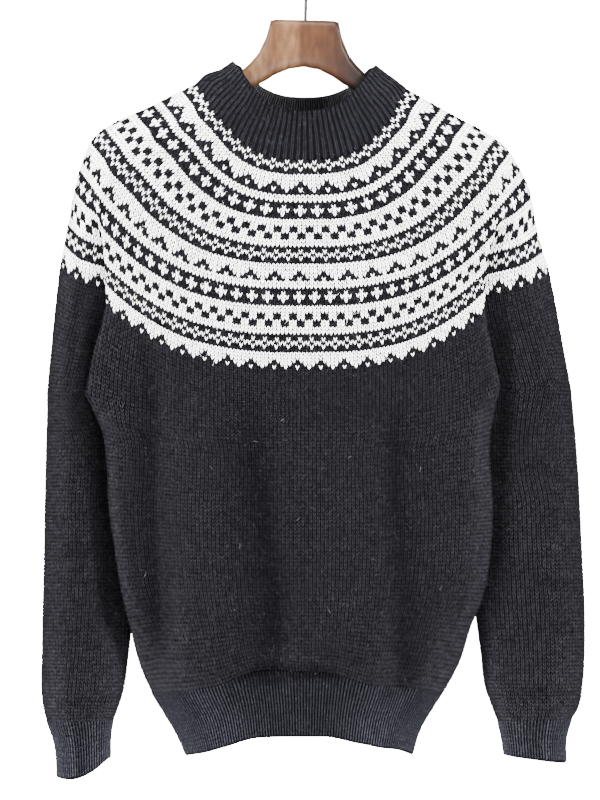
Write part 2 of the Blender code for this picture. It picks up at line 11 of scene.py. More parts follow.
import bpy
import numpy as np
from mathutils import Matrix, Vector


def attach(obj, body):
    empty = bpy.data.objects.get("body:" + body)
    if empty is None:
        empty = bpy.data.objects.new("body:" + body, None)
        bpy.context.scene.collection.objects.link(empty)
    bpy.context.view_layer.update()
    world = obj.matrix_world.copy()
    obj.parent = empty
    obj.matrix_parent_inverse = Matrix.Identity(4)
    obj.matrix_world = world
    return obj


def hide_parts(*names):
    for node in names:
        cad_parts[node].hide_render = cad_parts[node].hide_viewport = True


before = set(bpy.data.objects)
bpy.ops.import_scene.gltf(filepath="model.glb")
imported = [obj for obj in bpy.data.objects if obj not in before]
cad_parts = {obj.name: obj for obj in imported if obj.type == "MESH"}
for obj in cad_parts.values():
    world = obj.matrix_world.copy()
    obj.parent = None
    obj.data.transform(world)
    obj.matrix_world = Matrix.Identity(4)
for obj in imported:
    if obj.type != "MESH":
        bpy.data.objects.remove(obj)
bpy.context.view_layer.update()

MM = 0.001
RIGHT, LEFT = -1, 1
SEED = 7

# Hanger and hook
HANGER_TILT = math.radians(1.45)
SHOULDER_SLOPE = 0.53
RIDGE_START = (112.0, -140.5)
SHOULDER_REACH = {0: 112.0, 14: 163.0, 28: 216.0}
TIP_DROP = {0: 0.0, 14: 0.0, 28: 2.5}
SEAT_GAP = 2.6
KNIT_THICKNESS = 3.0
WIRE_RADIUS = 1.8
HOOK_INNER_RADIUS = 20.0
HOOK_BEND_RADIUS = 8.0
HOOK_END_ANGLE = math.radians(205.0)
NECK_TOP = -71.7
HOOK_GAP = 0.3
HOOK_OFFSET = 2.4

# Front to back, by knit row: how far each line of the garment lies before (-) or behind (+) the hook
Depth = namedtuple(
    "Depth",
    "row front_y front_z edge_y fold sleeve_front_y side_y sleeve_back_y tuck back_edge_y back_y back_z",
)
DEPTHS = [
    Depth(0, -60, -220, -44, 0, -24, 0, 24, 0, 42, 56, -196),
    Depth(14, -63, -271, -44, 0, -26, 0, 26, 0, 42, 58, -247),
    Depth(28, -64, -321, -43, 0, -25, 0, 26, 0, 42, 58, -299),
    Depth(40, -64, -365, -42, 4, -28, 2, 34, 4, 44, 57, -344),
    Depth(50, -63, -402, -38, 12, -25, 5, 42, 8, 42, 56, -381),
    Depth(60, -62, -438, -36, 20, -22, 8, 48, 12, 41, 56, -418),
    Depth(74, -61, -464, -33, 20, -18, 14, 58, 26, 40, 54, -447),
    Depth(88, -60, -492, -28, 18, -14, 24, 66, 45, 40, 52, -480),
]

# Body edge and outer sleeve line on each side, as distances from the hook's line and heights
Side = namedtuple("Side", "row edge_x edge_z side_x side_z")
SIDES = {
    RIGHT: [
        Side(0, 84, -181.5, None, None),
        Side(14, 130, -208, None, None),
        Side(28, 182, -242, None, None),
        Side(40, 209, -285, 240.5, -241.6),
        Side(50, 209, -328, 249, -285),
        Side(60, 208, -370, 257.4, -328),
        Side(74, 220, -418, 265, -395),
        Side(88, 230, -465, 271.5, -462),
    ],
    LEFT: [
        Side(0, 82, -186, None, None),
        Side(14, 126, -215, None, None),
        Side(28, 176, -250, None, None),
        Side(40, 196, -292, 236.3, -249),
        Side(50, 190, -334, 245, -293),
        Side(60, 189, -376, 257.4, -335),
        Side(74, 196, -415, 270, -400),
        Side(88, 205, -456, 281, -458),
    ],
}

# Body below the underarms, in the same row count
Body = namedtuple("Body", "row right_x left_x edge_z edge_y front_y front_z back_y back_z")
BODY = [
    Body(98, 212, 194, -502, -22, -59, -521, 50, -514),
    Body(118, 204.7, 196, -576, -20, -58, -584, 50, -580),
    Body(135, 196, 193, -639, -18, -58, -640, 52, -638),
    Body(147, 189, 184.6, -682, -14, -60, -678, 56, -677),
    Body(155, 182.5, 173, -709, -10, -62, -702, 60, -701),
    Body(163, 174, 162.5, -740, -5, -62, -729, 60, -729),
    Body(172, 159.3, 144, -774, 0, -57, -757, 54, -757),
]

# The hem rib's middle and lower edge
HEM = [
    Body(182, 137.5, 121.5, -814, 0, -53, -793, 52, -793),
    Body(190, 124.5, 113, -843, 0, -52, -822.4, 52, -821),
]

# Sleeves and cuffs below the underarms
Sleeve = namedtuple("Sleeve", "row outer_x inner_x outer_z inner_z middle_y half_depth")
SLEEVES = {
    RIGHT: [
        Sleeve(98, 273, 186, -502, -502, 33, 37),
        Sleeve(118, 275, 182, -576, -576, 35, 37),
        Sleeve(135, 276, 180, -639, -639, 36, 37),
        Sleeve(152, 277.5, 183, -703, -703, 34, 38),
        Sleeve(162, 278, 187, -740, -740, 31, 38),
        Sleeve(170, 278.5, 191, -771, -771, 28, 38),
        Sleeve(177, 276, 198, -796, -796, 25, 36),
        Sleeve(181, 272, 203, -812, -809, 23, 33),
    ],
    LEFT: [
        Sleeve(98, 286, 174, -502, -502, 34, 38),
        Sleeve(118, 291, 174, -576, -576, 36, 39),
        Sleeve(135, 294, 176, -639, -639, 37, 40),
        Sleeve(152, 296.5, 182, -703, -703, 35, 41),
        Sleeve(162, 296, 187, -740, -740, 32, 41),
        Sleeve(170, 294, 190.5, -771, -771, 29, 40),
        Sleeve(177, 289, 199, -796, -796, 26, 37),
        Sleeve(181, 282, 204.5, -808, -810, 24, 33),
    ],
}
# Each cuff rib's middle and lower edge
CUFFS = {
    RIGHT: [
        Sleeve(186, 264, 205.5, -835, -826, 22, 28.5),
        Sleeve(192, 261.6, 205.7, -866, -848, 21, 28),
    ],
    LEFT: [
        Sleeve(186, 276.5, 208, -829, -826, 23, 29),
        Sleeve(192, 276.2, 211, -853, -845, 22, 28.5),
    ],
}

# Collar, from the yoke's edge to its upper edge
Collar = namedtuple("Collar", "share right_x right_z left_x left_z front_y front_z back_y back_z")
COLLAR = [
    Collar(0.36, 103.5, -126.5, 97.5, -134, -56.5, -201, 53, -181),
    Collar(0.72, 88, -119.5, 86, -124, -51, -183.5, 49, -164),
    Collar(1.0, 76.5, -109.6, 75.5, -113.6, -47, -168.2, 45, -150.5),
]

# Hanger, mirrored about its middle: half sections of the wood, from the neck to the arm's end
Wood = namedtuple("Wood", "reach top bottom half_depth roundness")
HANGER = [
    Wood(0, NECK_TOP, -118.2, 9.5, 0.55),
    Wood(16, NECK_TOP, -120.9, 9.5, 0.55),
    Wood(31, NECK_TOP, -127.8, 9.5, 0.55),
    Wood(36, -73.2, -131.4, 9.5, 0.55),
    Wood(40, -88.5, -134.0, 9.5, 0.6),
    Wood(48, -105.5, -138.6, 9.5, 0.65),
    Wood(56, -114.8, -143.2, 9.5, 0.7),
    Wood(66, -124.6, -148.8, 9.5, 0.75),
    Wood(88, -137.4, -160.0, 9.6, 0.85),
    Wood(112, -149.6, -171.0, 9.8, 1.0),
]
ARM_STATIONS = (128.0, 146.0, 163.0, 180.0, 194.0)
ARM_HEIGHT = 21.5
ARM_HALF_DEPTH = 10.0
ARM_END = ((200.0, 0.9), (205.0, 0.66), (208.0, 0.3))
ARM_END_DROP = 1.6
WOOD_SIDES = 40
# How far the wood's neck stands from the solid: sideways, and up at the arch and at the top
HANGER_SHIFT, HANGER_LIFT_LOW, HANGER_LIFT_TOP = 1.8, -1.0, 2.0
# The heights of the arch and the top, and the reach over which both shifts fade out
LIFT_HEIGHTS, SHIFT_FADE = (-120, -72), (60, 110)
HOOK_BEND_STEPS, HOOK_STEPS = 12, 64

# Places of the fold lines between body and sleeves in a ring, counted from the middle of the front
TROUGH, SIDE_MIDDLE, BACK_TROUGH = 5, 6, 9
UPPER_POINTS, BODY_POINTS = 26, 22
FRONT_SHARES = (0.0, 0.3, 0.58, 0.82)
BACK_SHARES = (0.8, 0.55, 0.28, 0.0)
BODY_BACK_SHARES = (0.975, 0.93, 0.86, 0.68, 0.47, 0.24, 0.0)
SLEEVE_ANGLES = (-50, -112, 180, 112, 42, -5)
DEPTH_POWER = 2.4
DROP_POWER = 3
FRONT_ROUNDNESS = 0.62
BACK_ROUNDNESS = 0.7
COLLAR_SADDLE_POWER = 2.6
COLLAR_CORNER = 4.5
SLEEVE_SHARE = 0.62
TROUGH_SHARE = 0.52
TROUGH_OFFSET = (3.0, -2.0, 0.0)
FULL_FOLD = 12.0
BACK_EDGE_SHARE = 0.4
UPPER_ROWS = (0, 7, 14, 21, 28, 34, 40, 45, 50, 55, 60, 67, 74, 81, 88)
BODY_ROWS = (93, 98, 108, 118, 127, 135, 141, 147, 155, 163, 172)
SLEEVE_ROWS = (93, 98, 108, 118, 127, 135, 144, 152, 162, 170, 177, 181)
YOKE_EDGE_ROW = 60
UNDERARM_ROW = 88
DENSE = 16

# Knitting
STITCH_WIDTH = 4.15
FRONT_HALF = 45
CHEST_EDGE_COLUMNS = 15
BODY_SIDE_COLUMNS = 26
SIDE_SHARE = 0.62
BACK_HALF = 42
SLEEVE_COLUMNS = 48
SLEEVE_INNER_COLUMNS = 16
CHEST_ROWS = 20
BODY_KNIT_ROWS = 71
SLEEVE_TOP_ROWS = 30
SLEEVE_KNIT_ROWS = 90
SPREAD_ROWS = 34.0
YOKE_WALL_ROWS, YOKE_WALL_COLUMNS = 33, 300
COLLAR_RIBS = 88
HEM_RIBS = 198
CUFF_RIBS = 63
SHELL_DEPTH = 0.95
FIBRE_LENGTH = 6.5
FIBRE_HALF_WIDTH = 0.05
# Fibres: the shortest as a share of the longest, their bend and rise as shares of their length, the
# height of their roots, and their width at places along them
FIBRE_SHORTEST, FIBRE_SHORTNESS = 0.25, 1.5
FIBRE_BEND, FIBRE_RISE, FIBRE_ROOT = 0.35, (0.1, 0.75), 0.7
FIBRE_WIDTHS = ((0.0, 1.0), (0.33, 0.95), (0.68, 0.7), (1.0, 0.0))
YOKE_FIBRES = 2000
BODY_FIBRES = 2400
SLEEVE_FIBRES = 1700
RIB_FIBRES = 800
RIB_WALL_LEVELS = 10
INNER_COLLAR_ROWS = 5
RIB_LIFT = 0.2
RIB_BASE = 0.05
RIB_STEPS = 65
MIN_RIB_ROWS = 4
# How deep a band's outer face and the collar's inner stitches lie, and how much of the ribs shows inside
RIB_WALL_DEPTH, INNER_STITCH_DEPTH, INNER_RELIEF = 0.4, 0.6, 0.5
# How a band's free edge rounds over, its rise as a share of the thickness
EDGE_ANGLES, EDGE_ROUNDING = (30, 60, 85), 0.42

# The yoke's rows from the neck down: W is cream yarn and . is charcoal, each a repeat that runs all round
SEEDS_A = ("W..", ".WW", "W..")
PEAKS = (".WWWWW", "..WWW.", "W..W..")
STARS = (".W..", "WWW.", ".W..")
CHECKS = ("WW..", "WW..", "..WW", "..WW")
SEED_REPEAT = 3
DARK, CREAM = (".",), ("W",)
YOKE_CHART = (
    SEEDS_A + DARK + CREAM * 2 + PEAKS + DARK + CREAM * 2 + DARK + STARS + DARK + CREAM * 2 + CHECKS
    + CREAM * 2 + DARK + SEEDS_A + DARK + CREAM * 2 + PEAKS + CREAM * 2 + DARK + STARS + DARK
    + CREAM * 2 + CHECKS + CREAM * 2 + DARK + SEEDS_A + DARK + CREAM * 2 + PEAKS
)

# Bands of the yoke with one stitch count each: last row, stitch width and pattern repeat, then the place
# from the middle of the front (to the wearer's right) that a place counted in the repeat comes to
Band = namedtuple("Band", "last_row width repeat place counted")
YOKE_BANDS = (
    Band(4, 4.94, 3, 4.4, 0.5), Band(12, 4.7, 6, 4.4, 0.5), Band(17, 4.43, 4, 4.8, 1.5),
    Band(25, 4.25, 4, 3.4, 1.0), Band(30, 4.36, 3, 4.4, 0.5), Band(37, 4.3, 6, 5.7, 0.5),
    Band(50, 4.15, 4, 6.2, 1.5), Band(55, 4.1, 3, 5.0, 0.5), Band(60, 4.08, 6, 7.6, 0.5),
)

# One leg of a stitch: across the stitch, down it, out from the cloth in millimetres, and how exposed
# each point is, which sets its painted shade: 1 on the crest and 0 in the pits, which are darkest
LEG_POINTS = np.array([
    (0.05, -0.32, -0.6, 0.25),
    (0.04, 0.29, -0.75, 0.0), (0.18, 0.08, 0.8, 1.0), (0.31, -0.09, -0.65, 0.0),
    (0.21, 0.8, -0.65, 0.0), (0.345, 0.58, 0.9, 1.0), (0.485, 0.36, -0.5, 0.1),
    (0.49, 1.16, 0.0, 0.4),
])
LEG_FACES = np.array([
    (0, 2, 1), (0, 3, 2), (1, 2, 5), (1, 5, 4), (2, 3, 6), (2, 6, 5), (4, 5, 7), (5, 6, 7),
])
# The same leg with fewer points, for the plain knitting
PLAIN_LEG_POINTS = np.array([
    (0.05, -0.44, -0.7, 0.08), (0.18, 0.46, -0.9, 0.0), (0.43, 0.10, -0.85, 0.0),
    (0.19, 0.0, 0.85, 1.0), (0.35, 0.58, 0.95, 1.0), (0.49, 1.08, -0.15, 0.22),
])
PLAIN_LEG_FACES = np.array([(0, 3, 1), (0, 2, 3), (1, 3, 4), (3, 2, 4), (1, 4, 5), (4, 2, 5)])
# Where a leg's middle line runs: across the stitch at its top, and how far it moves over one stitch
LEG_LINE = (0.18, 0.275)
# The place down a stitch that its length grows from
LEG_CENTRE = 0.35
# How much stitches differ, as standard deviations: shares of a stitch across, down and in length, the
# yarn's height as a share and in millimetres, and its tone
ACROSS_JITTER, DOWN_JITTER, LENGTH_JITTER = 0.03, 0.045, 0.05
PLUMP_JITTER, HEIGHT_JITTER, TONE_JITTER = 0.12, 0.08, 0.12

# Folds as seen from the front, in pixels of the front view: depth and half width in
# millimetres (a negative depth stands out), then the line that the fold follows
Fold = namedtuple("Fold", "depth width line")
FRONT_FOLDS = [
    Fold(11.0, 16, ((150, 320), (152, 460), (152, 540), (158, 625), (170, 695))),
    Fold(9.0, 26, ((246, 360), (251, 470), (258, 530), (267, 600), (266, 660), (262, 730))),
    Fold(7.5, 16, ((258, 430), (268, 530), (278, 600), (280, 650), (268, 700))),
    Fold(11.0, 18, ((392, 380), (398, 530), (404, 600), (402, 660), (396, 730))),
    Fold(-4.5, 18, ((194, 370), (197, 520), (203, 660))),
    Fold(-3.0, 26, ((345, 400), (342, 540), (338, 670))),
    Fold(-3.0, 12, ((470, 380), (472, 470), (458, 590))),
    Fold(-3.0, 9, ((112, 375), (120, 520), (134, 620))),
    Fold(3.0, 7, ((98, 380), (118, 392), (142, 412))),
    Fold(2.5, 7, ((494, 378), (474, 394), (450, 414))),
    Fold(-3.5, 8, ((240, 662), (290, 656), (340, 662))),
    Fold(5.5, 7, ((226, 684), (262, 676), (318, 675), (356, 684))),
    Fold(2.5, 15, ((150, 180), (178, 240), (196, 310))),
    Fold(2.5, 15, ((446, 190), (424, 250), (412, 320))),
    Fold(-2.0, 14, ((270, 190), (262, 260), (256, 330))),
    Fold(-2.0, 13, ((352, 200), (360, 270), (356, 340))),
]
BACK_FOLDS = [
    Fold(5.0, 13, ((170, 360), (166, 470), (172, 580), (186, 690))),
    Fold(7.5, 16, ((322, 400), (314, 500), (306, 610), (300, 700))),
    Fold(4.5, 12, ((446, 380), (440, 500), (432, 620))),
    Fold(-4.0, 22, ((236, 390), (240, 520), (238, 650))),
    Fold(-4.0, 22, ((384, 400), (380, 530), (372, 650))),
    Fold(3.0, 8, ((112, 372), (142, 392), (176, 402))),
    Fold(3.0, 8, ((470, 366), (446, 384), (410, 398))),
]
SLEEVE_FOLDS = [
    Fold(17.0, 22, ((104, 270), (107, 400), (112, 500), (118, 600), (124, 690))),
    Fold(2.2, 7, ((58, 436), (78, 446), (100, 462))),
    Fold(2.6, 8, ((52, 566), (76, 556), (104, 552))),
    Fold(-2.0, 9, ((52, 520), (76, 512), (104, 508))),
    Fold(2.2, 8, ((56, 640), (80, 650), (108, 652))),
    Fold(3.0, 6, ((54, 700), (78, 706), (112, 698))),
    Fold(-2.2, 6, ((54, 688), (78, 692), (112, 684))),
    Fold(12.0, 15, ((497, 280), (496, 420), (490, 520), (482, 620))),
    Fold(2.4, 8, ((512, 474), (536, 466), (566, 448))),
    Fold(2.6, 9, ((500, 572), (530, 582), (566, 590))),
    Fold(-2.2, 9, ((500, 540), (530, 548), (566, 552))),
    Fold(3.0, 7, ((512, 688), (540, 698), (576, 694))),
    Fold(-2.4, 6, ((512, 674), (540, 684), (576, 680))),
    Fold(2.0, 8, ((516, 640), (540, 634), (572, 620))),
]
SLEEVE_BACK_FOLDS = [
    Fold(3.0, 8, ((60, 420), (80, 440), (104, 450))),
    Fold(3.0, 9, ((56, 540), (80, 552), (108, 548))),
    Fold(3.0, 8, ((58, 650), (82, 644), (108, 650))),
    Fold(3.0, 7, ((60, 700), (84, 708), (106, 700))),
    Fold(3.0, 8, ((500, 430), (526, 446), (556, 440))),
    Fold(3.0, 9, ((496, 560), (528, 570), (560, 562))),
    Fold(3.0, 8, ((510, 650), (536, 660), (566, 652))),
    Fold(3.0, 7, ((516, 700), (540, 706), (570, 700))),
]
FOLD_END = 0.22
# How far the cloth faces the front or the back where a fold has its full depth
FOLD_FACING = 0.6
# Painted shade in fold troughs and painted light on fold ridges: how much darker each millimetre of a trough
# is, and how much lighter each one of a ridge
TROUGH_PAINTED_SHADE, RIDGE_PAINTED_LIGHT = 0.034, 0.03
TONE_LIMITS = (0.3, 1.4)
# Painted shade at the cloth's sides, where it turns away: the yarn's tone at the sides and in the middle
# (above 1 is painted light), and how far a stitch faces the front or back at each: 0 side on, 1 face on
SIDE_PAINTED_SHADE = (0.45, 1.0, 0.1, 0.9)
BAND_SIDE_PAINTED_LIGHT_AND_SHADE = (0.4, 1.15, 0.8, 1.0)
# The two kinds of ribbing: points across a rib, half of its crest, how high it stands, the band's thickness,
# the height of a row, the yarn, the painted light and shade at its sides, and whether it is worked upwards
Ribbing = namedtuple("Ribbing", "per_rib crest_half relief thickness row_height yarn edge_tone upwards")
COLLAR_RIBBING = Ribbing(6, 2, 1.2, 5.0, 3.6, "collar", SIDE_PAINTED_SHADE, True)
BAND_RIBBING = Ribbing(4, 1, 0.8, 3.4, 3.7, "rib", BAND_SIDE_PAINTED_LIGHT_AND_SHADE, False)
# Dips of the hem on both sides of its middle: depth, how much of it is lost again, the distances over
# which it comes and goes, its height and its half height
Dip = namedtuple("Dip", "depth lost comes goes z half_height")
HEM_MIDDLE_X = -14.0
HEM_DIPS = (
    Dip(12.0, 6.0, (34.0, 88.0), (105.0, 160.0), -762, 42),
    Dip(5.0, 5.0, (34.0, 72.0), (88.0, 122.0), -838, 24),
)
# The right cuff's hanging edge: how far it drops, its middle and half width, and the depths where it starts
# and is full
CUFF_DROP, CUFF_MIDDLE_X, CUFF_HALF_WIDTH = 9.5, -237.0, 29.0
CUFF_DROP_START, CUFF_DROP_FULL = 812.0, 852.0
# Pale hairs on the front of the body: place in the front view, length in millimetres and direction
LINT = (
    (146, 576, 7, 48), (257, 443, 5, 160), (240, 548, 6, 75), (166, 400, 4, 20), (214, 470, 4, 120),
    (298, 520, 4, 30), (330, 612, 5, 100), (372, 560, 4, 150), (420, 470, 5, 60), (282, 402, 4, 10),
    (350, 455, 4, 200), (190, 640, 4, 80), (440, 590, 4, 35), (236, 610, 3, 140), (314, 690, 4, 20),
)
LINT_HALF_WIDTH, LINT_LIFT, LINT_BEND, LINT_STEPS = 0.13, 1.6, 0.3, 5
# Added to the distance of cloth that faces the back, so that no hair is laid there
BEHIND = 1e3
# Millimetres in a pixel of the front view, and the pixel where the origin is
PIXEL = 1.055
PIXEL_ORIGIN = (305.0, -46.0)

# Yarns: darkest and lightest colour, sheen and its tint, the tone left in the pits as painted shade, and a
# change of tone down the cloth as two heights in metres and the tones there
Yarn = namedtuple("Yarn", "name low high sheen tint pit fade", defaults=(None, None))
WOOL_GLOSS = 0.0
TINT, WHITE = (0.62, 0.58, 0.70), (1.0, 1.0, 1.0)
YARNS = {
    # The charcoal yarns dark, yoke_dark, collar and rib are one yarn in copies of different brightness: their
    # differences are painted light and shade for how each part is lit
    "dark": Yarn(
        "charcoal_wool", (0.0040, 0.0038, 0.0047), (0.0120, 0.0115, 0.0139), 0.001, TINT, 0.0,
        (-0.7, -0.83, 1.0, 1.4),
    ),
    "yoke_dark": Yarn(
        "charcoal_yoke_wool", (0.0012, 0.0012, 0.0014), (0.0075, 0.0072, 0.0087), 0.0, TINT, 0.0
    ),
    "collar": Yarn(
        "charcoal_collar_wool", (0.0042, 0.0041, 0.005), (0.0138, 0.0132, 0.016), 0.001, TINT, 0.0
    ),
    # Painted light: a much lighter copy of the charcoal yarn, for the collar's inside that lies in shade
    "inside": Yarn("collar_inside_painted_light_wool", (0.018, 0.018, 0.02), (0.056, 0.054, 0.06), 0.01, TINT, 0.4),
    "rib": Yarn(
        "charcoal_rib_wool", (0.0135, 0.0134, 0.0174), (0.0325, 0.0326, 0.0418), 0.004, TINT, 0.12,
        (-0.75, -0.86, 0.6, 1.0),
    ),
    "cream": Yarn("cream_wool", (0.91, 0.9, 0.88), (0.99, 0.985, 0.975), 0.25, WHITE, 0.04),
    # Ground walls under the stitches, far darker than the yarn: painted shade in the gaps between stitches
    "under": Yarn(
        "wool_ground_painted_shade", (0.00048, 0.00048, 0.00056), (0.00096, 0.00096, 0.00112), 0.0, TINT
    ),
    "under_rib": Yarn("rib_ground_painted_shade", (0.0007, 0.0007, 0.0009), (0.0018, 0.0018, 0.0023), 0.0, TINT),
    "fibre": Yarn("charcoal_fibre", (0.0096, 0.00928, 0.01088), (0.036, 0.0352, 0.0384), 0.01, TINT),
    "cream_fibre": Yarn("cream_fibre", (0.7, 0.68, 0.65), (0.92, 0.91, 0.89), 0.1, WHITE),
    "lint": Yarn("pale_lint", (0.035, 0.035, 0.037), (0.07, 0.07, 0.073), 0.0, WHITE),
}
# The wood's grain, and painted light and shade along the hanger from the wearer's right arm to the left one,
# as shares of the wood's colour: painted highlights on the right arm and near the middle, painted shade to
# the left
WOOD_GRAIN = (
    (0.3, (0.026, 0.0098, 0.0035)), (0.5, (0.037, 0.0152, 0.0058)), (0.7, (0.052, 0.023, 0.0095)),
)
WOOD_PAINTED_LIGHT_AND_SHADE = (
    (0.12, (0.8, 0.92, 1.05)), (0.24, (0.55, 0.5, 0.42)), (0.31, (0.85, 0.95, 1.0)),
    (0.41, (0.9, 1.0, 1.05)), (0.47, (0.44, 0.38, 0.28)), (0.7, (0.32, 0.25, 0.17)),
    (0.85, (0.15, 0.11, 0.09)), (0.97, (0.05, 0.038, 0.04)),
)
# Half the width along X, in metres, over which the painted light and shade run
PAINTED_LIGHT_AND_SHADE_HALF_WIDTH = 0.06
STEEL_WEAR = ((0.35, (0.006, 0.005, 0.008)), (0.7, (0.014, 0.012, 0.017)))

# Floor and panel, in millimetres
FLOOR_HALF, FLOOR_HEIGHT = 2500, -1500
PANEL_HALF, PANEL_BOTTOM, PANEL_TOP, PANEL_DISTANCE = 1800, -2700, 1800, 15000.0
# Camera and lights, in metres and watts
SENSOR = 36.0
CAMERA_DISTANCE = 8.0
VIEW_HEIGHT = 0.844
VIEW_CENTRE = (-0.005, -0.4705)
PANEL_GLOW = 30.0
WORLD_LIGHT = 0.6
LIGHTS = [
    ("key", (1.85, -2.25, 0.45), (0.0, 0.0, -0.4), (0.7, 1.0), 590.0),
    ("fill", (-2.05, -1.9, 0.3), (0.0, 0.0, -0.45), (0.7, 1.2), 680.0),
    ("top", (0.0, -1.3, 1.6), (0.0, 0.0, -0.4), (1.2, 0.8), 330.0),
    ("front", (0.3, -3.0, -1.1), (0.0, 0.0, -0.45), (1.0, 0.8), 270.0),
    ("strip", (-0.014, -2.5, 0.03), (-0.014, 0.0, -0.09), (0.02, 0.3), 5.0),
    ("back_right", (-2.0, 2.3, 0.3), (0.0, 0.0, -0.45), (0.7, 1.2), 330.0),
    ("back_left", (2.0, 2.3, 0.3), (0.0, 0.0, -0.45), (0.7, 1.2), 330.0),
]


def between(low, high, share):
    """The point a share of the way from low to high."""
    return low + (high - low) * share


def hermite(start, end, start_slope, end_slope, s):
    """A cubic from start to end, s from 0 to 1."""
    return (
        (2 * s**3 - 3 * s**2 + 1) * start
        + (s**3 - 2 * s**2 + s) * start_slope
        + (3 * s**2 - 2 * s**3) * end
        + (s**3 - s**2) * end_slope
    )


def through(keys, values, wanted):
    """A smooth curve through the values at the keys, read at each wanted key."""
    keys = np.asarray(keys, float)
    values = np.asarray(values, float)
    slopes = np.gradient(values, keys, axis=0)
    read = []
    for key in np.atleast_1d(wanted):
        span = int(np.clip(np.searchsorted(keys, key, side="right") - 1, 0, len(keys) - 2))
        width = keys[span + 1] - keys[span]
        s = (key - keys[span]) / width
        start, end = values[span], values[span + 1]
        read.append(hermite(start, end, slopes[span] * width, slopes[span + 1] * width, s))
    return np.array(read)


def closed_curve(controls, steps=DENSE):
    """A smooth closed curve through the controls, with the same number of steps after each."""
    slope = (np.roll(controls, -1, axis=0) - np.roll(controls, 1, axis=0)) / 2
    s = (np.arange(steps) / steps)[None, :, None]
    after = np.roll(controls, -1, axis=0)
    slope_after = np.roll(slope, -1, axis=0)
    points = hermite(controls[:, None], after[:, None], slope[:, None], slope_after[:, None], s)
    return points.reshape(-1, 3)


def tilted(x, z):
    """A point of the hanger's plane, leaned with the hanger."""
    cos, sin = math.cos(HANGER_TILT), math.sin(HANGER_TILT)
    return x * cos + z * sin, z * cos - x * sin


def ridge(reach):
    """Height of the cloth along the shoulder, in the hanger's plane."""
    start, height = RIDGE_START
    return height - SHOULDER_SLOPE * (reach - start)


def side_lines(side, row):
    """The row of SIDES, with the shoulder's own points where the hanger carries the cloth."""
    if row.side_x is not None:
        return row
    x, z = tilted(side * SHOULDER_REACH[row.row], ridge(SHOULDER_REACH[row.row]) - TIP_DROP[row.row])
    return row._replace(side_x=side * x, side_z=z)


def upper_side(side, depth, row):
    """Points of one side of a ring above the underarms, from the front's first point to the back's last."""
    row = side_lines(side, row)
    points = []
    for share in FRONT_SHARES[1:]:
        points.append((
            share * row.edge_x,
            between(depth.front_y, depth.edge_y, share**DEPTH_POWER),
            between(depth.front_z, row.edge_z, share**DROP_POWER),
        ))
    edge = np.array((row.edge_x, depth.edge_y, row.edge_z))
    sleeve_front = np.array((
        between(row.edge_x, row.side_x, SLEEVE_SHARE),
        depth.sleeve_front_y,
        between(row.edge_z, row.side_z, SLEEVE_SHARE),
    ))
    smooth = between(edge, sleeve_front, TROUGH_SHARE) + np.array(TROUGH_OFFSET)
    pressed = between(edge, sleeve_front, (0.0, 0.0, 0.5)) + np.array((-depth.fold / 2, depth.fold, 0.0))
    trough = between(smooth, pressed, min(depth.fold / FULL_FOLD, 1.0))
    back_z = row.edge_z + BACK_EDGE_SHARE * (depth.back_z - depth.front_z)
    back_edge = (row.edge_x - depth.tuck, depth.back_edge_y, back_z)
    sleeve_back = (
        between(row.edge_x - depth.tuck, row.side_x, SLEEVE_SHARE),
        depth.sleeve_back_y,
        between(back_z, row.side_z, SLEEVE_SHARE),
    )
    points += [edge, trough, sleeve_front, (row.side_x, depth.side_y, row.side_z), sleeve_back, back_edge]
    for share in BACK_SHARES[:-1]:
        points.append((
            share * (row.edge_x - depth.tuck),
            between(depth.back_y, depth.back_edge_y, share**DEPTH_POWER),
            between(depth.back_z, back_z, share**DROP_POWER),
        ))
    return np.array([(side * x, y, z) for x, y, z in points])


def upper_controls(index):
    """All the points of one ring of the table, from the middle of the front round by the wearer's right."""
    depth = DEPTHS[index]
    right = upper_side(RIGHT, depth, SIDES[RIGHT][index])
    left = upper_side(LEFT, depth, SIDES[LEFT][index])
    front = (0.0, depth.front_y, depth.front_z)
    back = (0.0, depth.back_y, depth.back_z)
    return np.vstack([front, right, back, left[::-1]])


def body_side(side, row):
    """Points of one side of a ring of the body: a flat lens in plan, its edge towards the front."""
    edge_x = row.right_x if side == RIGHT else row.left_x
    points = []
    for share in FRONT_SHARES[1:] + (1.0,):
        points.append((
            share * edge_x,
            between(row.edge_y, row.front_y, (1 - share**DEPTH_POWER) ** FRONT_ROUNDNESS),
            between(row.front_z, row.edge_z, share**DROP_POWER),
        ))
    for share in BODY_BACK_SHARES[:-1]:
        points.append((
            share * edge_x,
            between(row.edge_y, row.back_y, (1 - share**2) ** BACK_ROUNDNESS),
            between(row.back_z, row.edge_z, share**DROP_POWER),
        ))
    return np.array([(side * x, y, z) for x, y, z in points])


def body_controls(row):
    right, left = body_side(RIGHT, row), body_side(LEFT, row)
    front = (0.0, row.front_y, row.front_z)
    back = (0.0, row.back_y, row.back_z)
    return np.vstack([front, right, back, left[::-1]])


def sleeve_controls(side, row):
    """Points of a ring of a sleeve, running front, wearer's right, back, wearer's left in plan."""
    middle_x = (row.outer_x + row.inner_x) / 2
    half_width = (row.outer_x - row.inner_x) / 2
    points = []
    for angle in SLEEVE_ANGLES:
        out = -math.cos(math.radians(angle))
        x = middle_x + half_width * out
        y = row.middle_y + row.half_depth * math.sin(math.radians(angle))
        points.append((side * x, y, between(row.inner_z, row.outer_z, (1 + out) / 2)))
    points = np.array(points)
    return points if side == RIGHT else points[[4, 3, 2, 1, 0, 5]]


